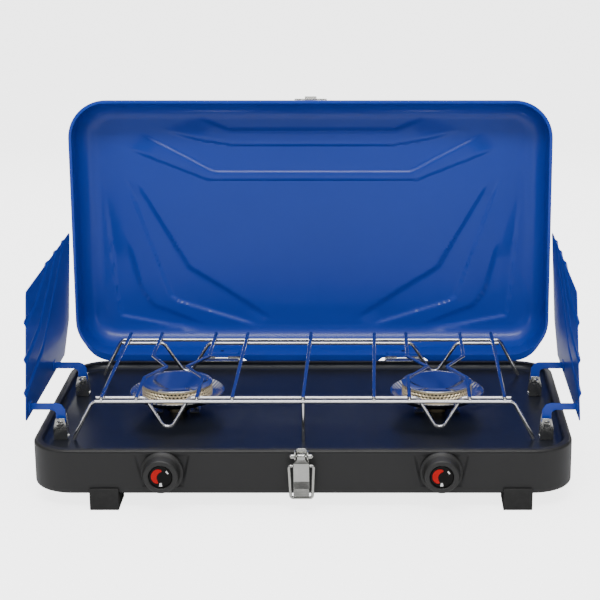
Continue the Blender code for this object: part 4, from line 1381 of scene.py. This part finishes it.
# ---------------------------------------------------------------- wind screens
@dataclass
class WindScreen(Assembly):
    """One folding screen: a thin leaning panel with pressed ribs, on two arms."""

    side: Side
    foot_x: float = 277.5
    head_x: float = 270.3
    low: float = 78.0
    high: float = 213.0
    near: float = -108.0
    far: float = 142.0
    sheet: float = 1.0
    pivot_x: float = 245.5
    pivot_z: float = 71.5
    rib_half: float = 4.6
    rib_rise: float = 1.9
    edge_draw: float = 0.22
    columns: int = 150
    rows: int = 84
    far_cut: tuple[float, float] = (28.0, 34.0)
    arm_y: tuple[float, float] = (-88.0, 47.0)

    def rib_lines(self) -> list[Array]:
        """The pressed ribs' middle lines, as (Y, Z) points from the near edge to the top edge.

        Returns:
            Each rib's line.
        """
        return [np.array([(-114.0, 181.0), (-62.0, 187.0), (25.0, 219.0)]),
                np.array([(-114.0, 142.0), (-40.0, 156.0), (66.0, 219.0)]),
                np.array([(-114.0, 107.0), (-18.0, 128.0), (111.0, 219.0)])]

    def panel_x(self, z: Array) -> Array:
        """The panel's middle surface at height z, leaning in towards the top."""
        return self.foot_x - (self.foot_x - self.head_x) * (z - self.low) / (self.high - self.low)

    def panel(self) -> Array:
        """The pressed sheet as one closed skin.

        Columns run from front to back, and each spans from the panel's lower edge, which is cut off
        at the far corner, to its upper edge. The ribs rise outwards as squared cosines of the
        distance from their middle lines.

        Returns:
            A grid of points that closes both ways.
        """
        cut_long, cut_tall = self.far_cut
        y = np.linspace(self.near, self.far, self.columns)
        low = self.low + cut_tall * np.clip((y - self.far + cut_long) / cut_long, 0, 1)
        low = low + 3.0 * corner_fall(y - self.near, 6.0)
        high = self.high - 4.0 * corner_fall(np.minimum(y - self.near, self.far - y), 4.0)
        t = np.linspace(0, 1, self.rows)[:, None]
        z = low[None] * (1 - t) + high[None] * t
        y = np.repeat(y[None], self.rows, 0)
        flat = np.stack([y.ravel(), z.ravel()], 1)
        rise = np.zeros(len(flat))
        for line in self.rib_lines():
            share = np.clip(distance_to_line(flat, line) / self.rib_half, 0, 1)
            rise = np.maximum(rise, self.rib_rise * np.cos(share * np.pi / 2) ** 2)
        x = self.panel_x(z) + rise.reshape(z.shape) - 0.4
        sheet = np.stack([self.side.value * x, y, z], -1)
        normal = grid_normals(sheet, False)
        half = self.sheet / 2
        outer, inner = sheet + normal * half, sheet - normal * half
        tangent = unit(np.gradient(sheet, axis=0))
        for face in (outer, inner):
            face[0] += tangent[0] * self.edge_draw
            face[-1] -= tangent[-1] * self.edge_draw
        band = np.vstack([outer, sheet[-1:], inner[::-1], sheet[:1]])
        return np.swapaxes(band, 0, 1)

    def build(self) -> None:
        """Builds the panel with its arms as one piece on the screen's body."""
        side = self.side.label
        skin = Skin().add(self.panel(), Finish.BLUE)
        px, pz = self.pivot_x, self.pivot_z
        x0 = float(self.panel_x(np.array(87.0))) - 0.4
        shape = [(x0, 91.0), (x0, 84.0), (px + 9, 84.0), (px + 5, 82.0), (px + 5, pz),
                 (px + 3.5, pz - 3.5), (px, pz - 5), (px - 3.5, pz - 3.5), (px - 5, pz),
                 (px - 4.5, 84.0), (px - 1, 89.5), (px + 4, 91.0)]
        for y in self.arm_y:
            outline = closed_outline(shape, 3.0, 5)
            outline[:, 0] *= self.side.value
            skin.add(prism_grid(outline, y - 0.8, y + 0.8, "XZ", 0.3), Finish.BLUE)
            skin.add(self.tab(x0, y), Finish.BLUE)
        self.mesh(f"pressed_screen_{side}", skin, f"screen_{side}", [f"wind_screen_{side}"],
                  sharp=35.0)
        self.rivets()

    def tab(self, x0: float, y: float) -> Array:
        """The arm's welded tab that lies flat on the panel's inner face.

        Args:
            x0: the panel's inner face.
            y: the arm's place.

        Returns:
            A grid of points.
        """
        outline = closed_outline([(y - 6, 82.0), (y + 6, 82.0), (y + 6, 93.0), (y - 6, 93.0)], 2.0, 4)
        low, high = x0 - 1.5, x0 - 0.4
        grid = prism_grid(outline, low, high, "YZ", 0.25)
        return grid * [self.side.value, 1.0, 1.0]

    def rivets(self) -> None:
        """Builds the two rivets that pin the arms in their clips, each with a domed head."""
        out = 7.5
        for end, y in zip(("front", "rear"), self.arm_y):
            profile = smooth_profile([[-out - 2.2, 0.02], [-out - 2.2, 1.6], [-out - 1.6, 3.4],
                                      [-out, 3.9], [-out, 2.0], [out, 2.0], [out, 3.9],
                                      [out + 1.2, 3.4], [out + 1.2, 0.02]], 0.35)
            grid = turned_grid(profile, 36, (self.side.value * self.pivot_x, y, self.pivot_z), "Y")
            self.mesh(f"domed_rivet_{end}_{self.side.label}", Skin().add(grid, Finish.ZINC), "base",
                      [f"screen_rivet_{end}_{self.side.label}"], sharp=50.0)
            self.clip(end, y)

    def clip(self, end: str, y: float) -> None:
        """Builds the bent clip that carries the arm, with rounded ears.

        Args:
            end: which clip it is, front or rear.
            y: the arm's place, which the clip straddles.
        """
        half, base, t, top = 6.0, 54.3, 1.2, self.pivot_z + 5.5
        shape = [(y - half - t, base), (y + half + t, base), (y + half + t, top), (y + half, top),
                 (y + half, base + t), (y - half, base + t), (y - half, top), (y - half - t, top)]
        x = self.side.value * self.pivot_x
        grid = prism_grid(closed_outline(shape, 0.55), x - 7.0, x + 7.0, "YZ", 0.25)
        grid[..., 0] = x + (grid[..., 0] - x) * (1 - 0.35 * ease((grid[..., 2] - top + 5.0) / 5.0))
        self.mesh(f"bent_clip_{end}_{self.side.label}", Skin().add(grid, Finish.ZINC), "base",
                  [f"screen_clip_{end}_{self.side.label}"], sharp=35.0)


# ---------------------------------------------------------------- latch
@dataclass
class Latch(Assembly):
    """The draw latch: back plate with ears, curved lever, and the wire bail."""

    wall: float = FRONT_WALL
    pivot_y: float = -152.0
    pivot_z: float = 58.0
    bail_z: float = 49.5

    def build(self) -> None:
        """Builds the plate, the lever and the bail."""
        self.plate()
        self.lever()
        y, z = self.pivot_y - 3.4, self.bail_z
        route = rounded_path([(-8.2, y, z), (-12.3, y, z), (-10.6, y, 16.2), (10.6, y, 16.2),
                              (12.3, y, z), (8.2, y, z)], 2.6, 8)
        self.mesh("wire_bail", Skin().add(tube_grid(route, 1.5, (0, 1, 0), 16), Finish.ZINC),
                  "latch_bail", ["latch_bail"], sharp=60.0)

    def plate(self) -> None:
        """Builds the back plate with its arched top, two ears, pin and rivets."""
        wall, py, pz = self.wall, self.pivot_y, self.pivot_z
        back = closed_outline([(-7, 26), (7, 26), (7, 52), (6.4, 60), (4.6, 64.8), (-4.6, 64.8),
                               (-6.4, 60), (-7, 52)], 2.5, 6)
        skin = Skin().add(prism_grid(back, wall - 1.2, wall, "XZ", 0.3), Finish.ZINC)
        ear = closed_outline([(wall - 0.6, 54), (wall - 0.6, 63), (py, 62.2), (py - 3.0, 60.8),
                              (py - 3.8, 58), (py - 2.8, 55.2), (py, 54)], 1.2, 4)
        for sign in (-1, 1):
            skin.add(prism_grid(ear, sign * 6.2 - 0.7, sign * 6.2 + 0.7, "YZ", 0.3), Finish.ZINC)
            knuckle = smooth_profile([[sign * 5.2, 0.02], [sign * 5.2, 2.5], [sign * 10.6, 2.5],
                                      [sign * 10.6, 0.02]], 0.6, 4)
            skin.add(turned_grid(knuckle, 28, (0.0, py, pz), "X"), Finish.ZINC)
        pin = smooth_profile([[-11.4, 0.02], [-11.4, 1.2], [11.4, 1.2], [11.4, 0.02]], 0.4)
        skin.add(turned_grid(pin, 20, (0.0, py, pz), "X"), Finish.ZINC)
        head = smooth_profile([[0.0, 0.02], [0.0, 2.3], [-0.9, 1.5], [-1.1, 0.02]], 0.5, 4)
        for z in (46.0, 31.0):
            skin.add(turned_grid(head, 24, (0.0, wall - 1.15, z), "Y"), Finish.ZINC)
        self.mesh("latch_back_plate", skin, "base", ["latch_plate"], sharp=35.0)

    def lever(self) -> None:
        """Builds the lever: a sheet curved over its pin, straight down and curled out below."""
        out, pz = self.pivot_y, self.pivot_z
        shape = [(out - 1.4, 55.2), (out - 2.9, 51.0), (out - 2.9, 33.0), (out - 4.5, 26.0),
                 (out - 8.5, 19.5), (out - 9.4, 20.2), (out - 5.6, 26.5), (out - 4.0, 33.5),
                 (out - 4.0, 51.5), (out - 3.4, 56.0), (out - 3.4, 59.4), (out - 1.8, 61.0),
                 (out + 1.8, 61.0), (out + 3.2, 59.4), (out + 3.2, 56.4), (out + 1.6, 55.0)]
        grid = prism_grid(closed_outline(shape, 3.0, 6), -7.8, 7.8, "YZ", 0.35)
        grid[..., 0] *= 1 - 0.5 * ease((grid[..., 2] - 53.0) / 1.5)
        lever = self.mesh("curved_lever", Skin().add(grid, Finish.ZINC), "latch_lever",
                          ["latch_lever"], sharp=40.0)
        profile = np.array([[-12.0, 1.6], [12.0, 1.6]])
        tool = self.mesh("tool_lever",
                         Skin().add(turned_grid(profile, 24, (0.0, out, pz), "X"), Finish.ZINC),
                         "latch_lever")
        bore(lever, [tool])


# ---------------------------------------------------------------- lid
@dataclass
class Lid(Assembly):
    """The blue lid pan, worked out as it lies shut and then swung open on its hinges."""

    width: float = 535.0
    depth: float = 291.0
    corner: float = 41.0
    tall: float = 49.0
    sheet: float = 0.8
    fillet: float = 24.0
    draft: float = 1.0
    rim_up: float = 1.9
    axis_y: float = 150.0
    axis_z: float = 60.5
    open_by: float = 92.0
    bead: float = 2.3
    rear_bead: float = 4.4
    step: float = 2.1
    hinge_x: float = 104.0
    hinge_half: float = 19.5
    notch_half: float = 30.0
    notch_ease: float = 7.0
    line_base: float = 58.8

    def swing(self, points: Array) -> Array:
        """Turns points from the shut lid's frame, about its hinge, to where the open lid stands.

        Args:
            points: points of the shut lid.

        Returns:
            The same points on the open lid.
        """
        a = np.radians(-self.open_by)
        y, z = points[..., 1] - self.axis_y, points[..., 2] - self.axis_z
        return np.stack([points[..., 0], self.axis_y + y * np.cos(a) - z * np.sin(a),
                         self.axis_z + y * np.sin(a) + z * np.cos(a)], -1)

    def bands(self) -> list[tuple[Array, Array, float, float]]:
        """The pressed bands: two long edges, a depth and the width of the slope at the edges.

        Edges are (X, distance from the hinge) points; a positive depth stands into the lid.

        Returns:
            The bands.
        """
        def line(*points: tuple[float, float]) -> Array:
            """An edge from (X, height of the open lid) points."""
            return np.array(points) - [0.0, self.line_base]

        found = [(line((-134, 332.5), (-92.4, 316.9), (92.4, 316.9), (134, 332.5)),
                  line((-176, 318.0), (-128, 304.5), (-86, 298), (86, 298), (128, 304.5), (176, 318.0)),
                  2.4, 5.0),
                 (line((-196, 313.5), (-113, 269.6), (113, 269.6), (196, 313.5)),
                  line((-214, 296.0), (-118, 258.0), (118, 258.0), (214, 296.0)),
                  1.9, 5.0)]
        for s in (-1, 1):
            found += [(line((s * 217, 267), (s * 166, 122), (s * 158, 116), (s * 60, 85)),
                       line((s * 202, 258), (s * 144, 157), (s * 101, 130), (s * 46, 94)),
                       -2.2, 4.6),
                      (line((s * 239.5, 256), (s * 229, 126), (s * 225, 99), (s * 129, 80)),
                       line((s * 214, 190), (s * 199, 130), (s * 187, 112), (s * 116, 84)),
                       -2.0, 5.0)]
        return found

    def pressed(self, flat: Array) -> Array:
        """How far the sheet stands into the lid at each flat (X, distance) point.

        Inside a band's outline the height is its depth times the smooth steps of the distances to
        its two long edges, and it fades out near its short ends.

        Args:
            flat: the points, one a row.

        Returns:
            The height of each point.
        """
        total = np.zeros(len(flat))
        for first, second, depth, slope in self.bands():
            outline = np.vstack([first, second[::-1]])
            sign = np.where(inside_outline(flat, outline), 1.0, -1.0)
            near = np.minimum(ease(0.5 + sign * distance_to_line(flat, first) / slope),
                              ease(0.5 + sign * distance_to_line(flat, second) / (1.8 * slope)))
            ends = np.minimum(distance_to_line(flat, np.stack([first[0], second[0]])),
                              distance_to_line(flat, np.stack([first[-1], second[-1]])))
            total += depth * near * ease(ends / 26.0)
        return total

    def shell(self) -> None:
        """Builds the pan: nested outlines from the rim up the wall, round the fillet and the top."""
        rim = self.axis_z + self.rim_up
        a = np.linspace(0, np.pi / 2, 12)
        straight = self.tall - self.fillet
        wall = np.array([0.0, 0.25, 0.9, 1.6, 1.9, 2.2, 2.5, 2.8, 4.0, 8.0, 13.0, 19.0])
        top = np.arange(self.draft + self.fillet + self.step, self.depth / 2 - 0.2, self.step)
        inset = np.concatenate([self.draft * wall / straight,
                                self.draft + self.fillet * (1 - np.cos(a)), top,
                                [self.depth / 2 - 0.01]])
        height = np.concatenate([wall, straight + self.fillet * np.sin(a),
                                 np.full(len(top) + 1, self.tall)])
        outer = rim_ring(self.width, self.depth, self.corner, inset, height + rim,
                         np.linspace(-1, 1, 172), np.linspace(-1, 1, 80), 14)
        out = grid_normals(outer)
        out *= np.sign(out[len(wall) + 8, 5, 2])
        out[:2] = out[2]
        out[len(wall) + len(a) - 1:] = (0.0, 0.0, 1.0)
        flat = np.stack([outer[..., 0].ravel(), self.axis_y - outer[..., 1].ravel()], 1)
        press = self.pressed(flat).reshape(outer.shape[:2]) * ease((height[:, None] - 27.0) / 20.0)
        roll = 1 - ease((height - 1.6) / 1.2)
        roll[:2] = [0.72, 0.93]
        across = np.abs(outer[..., 0])
        notch = (ease((across - self.hinge_x + self.notch_half) / self.notch_ease)
                 * ease((self.hinge_x + self.notch_half - across) / self.notch_ease))
        girth = self.bead + self.rear_bead * ease((outer[..., 1] - 128.0) / 17.5) * (1 - notch)
        pressed = outer + out * (roll[:, None] * girth - press)[..., None]
        thick = self.sheet + roll[:, None] * (girth + 0.5)
        inner = pressed - out * thick[..., None]
        grid = np.vstack([pressed[::-1], inner])
        self.mesh("pressed_lid", Skin().add(grid, Finish.BLUE, caps=False), "lid", ["lid_shell"],
                  sharp=35.0, weld=6e-5, move=self.swing)

    def tabs(self) -> None:
        """Builds the painted hinge tabs inside the lid's rear wall, each with its rivet, whose head is
        painted near-black as the painted shade of a hole.
        """
        back = self.depth / 2 - self.sheet - self.draft
        rim = self.axis_z + self.rim_up
        for side in Side:
            x, half = side.value * self.hinge_x, self.hinge_half
            outline = closed_outline([(x - half, rim + 0.6), (x + half, rim + 0.6),
                                      (x + half, rim + 20.0), (x - half, rim + 20.0)], 2.5, 5)
            skin = Skin().add(prism_grid(outline, back - 1.15, back + 0.9, "XZ", 0.3), Finish.BLUE)
            head = smooth_profile([[0.0, 0.02], [0.0, 2.4], [-0.5, 1.9], [-0.6, 0.02]], 0.3, 4)
            # The rivet head takes the near-black hole finish: painted shade standing in for the dark of
            # the tab's hole.
            skin.add(turned_grid(head, 24, (x, back - 1.1, rim + 10.0), "Y"), Finish.HOLE)
            self.mesh(f"hinge_tab_{side.label}", skin, "lid", sharp=35.0, move=self.swing)
            self.saddle(side, x)

    def saddle(self, side: Side, x: float) -> None:
        """Builds the bright hinge strap that folds over the case's rear rim.

        Args:
            side: which hinge it belongs to.
            x: the hinge's middle.
        """
        outline = closed_outline([(138.4, 62.05), (146.6, 62.05), (147.6, 61.0), (147.6, 57.5),
                                  (148.5, 57.5), (148.5, 61.5), (147.2, 63.0), (138.4, 63.0)], 0.4)
        grid = prism_grid(outline, x - self.hinge_half, x + self.hinge_half, "YZ", 0.25)
        self.mesh(f"hinge_strap_{side.label}", Skin().add(grid, Finish.ZINC), "base", sharp=35.0)

    def catch(self) -> None:
        """Builds the catch plate with its turned-out hook and two rivets."""
        rim = self.axis_z + self.rim_up
        front = -self.depth / 2 - 0.3
        plate = closed_outline([(-18, rim + 3), (18, rim + 3), (18, rim + 21), (-18, rim + 21)], 2.5, 5)
        skin = Skin().add(prism_grid(plate, front - 1.2, front + 0.1, "XZ", 0.3), Finish.ZINC)
        hook = closed_outline([(front - 0.8, rim + 8), (front - 0.8, rim + 18), (front - 3.6, rim + 18),
                               (front - 4.6, rim + 15), (front - 3.4, rim + 15.2),
                               (front - 2.6, rim + 16), (front - 2.6, rim + 8)], 0.5, 3)
        skin.add(prism_grid(hook, -6.5, 6.5, "YZ", 0.3), Finish.ZINC)
        head = smooth_profile([[0.0, 0.02], [0.0, 2.2], [-0.9, 1.5], [-1.1, 0.02]], 0.5, 4)
        for x in (-13.0, 13.0):
            skin.add(turned_grid(head, 24, (x, front - 1.15, rim + 12.0), "Y"), Finish.ZINC)
        self.mesh("hooked_catch", skin, "lid", ["lid_catch"], sharp=35.0, move=self.swing)

    def build(self) -> None:
        """Builds the pan, its hinge tabs and its catch."""
        self.shell()
        self.tabs()
        self.catch()


# ---------------------------------------------------------------- pieces kept from the frame
@dataclass
class GasTrain(Assembly):
    """The frame's own pipes, valves, stems and hinge leaves, which keep their shape."""

    nodes: dict[str, bpy.types.Object]
    looks: dict[str, Finish] = field(default_factory=lambda: {
        "valve_": Finish.BRASS, "valve_stem_": Finish.ZINC, "manifold_pipe": Finish.ALUMINIUM,
        "gas_inlet": Finish.BRASS, "mixing_tube_": Finish.ALUMINIUM, "hinge_": Finish.ZINC})

    def build(self) -> None:
        """Gives each kept node its finish; the longest matching start of its name decides."""
        for name, node in self.nodes.items():
            starts = [start for start in self.looks if name.startswith(start)]
            if starts and not node.hide_render:
                look = self.looks[max(starts, key=len)]
                for slot in node.material_slots:
                    slot.material = self.plan.paints[look]
                self.pieces.append(name)


def main() -> None:
    """Builds the studio and the stove's sub-assemblies in order."""
    logging.basicConfig(level=logging.INFO, format="%(name)s: %(message)s")
    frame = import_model()
    Studio().build()
    low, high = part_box("base_case")
    shift = np.array([(low.x + high.x) / 2, (low.y + high.y) / 2, 0.0])
    plan = Plan(shift, paint_shop())
    assemblies: list[Assembly] = [Case(plan)]
    for side in Side:
        assemblies += [Burner(plan, side), Knob(plan, side), WindScreen(plan, side)]
    assemblies += [Grate(plan), Latch(plan), Lid(plan), GasTrain(plan, frame["nodes"])]
    for assembly in assemblies:
        assembly.build()
        assembly.report()


if __name__ == "__main__":
    main()
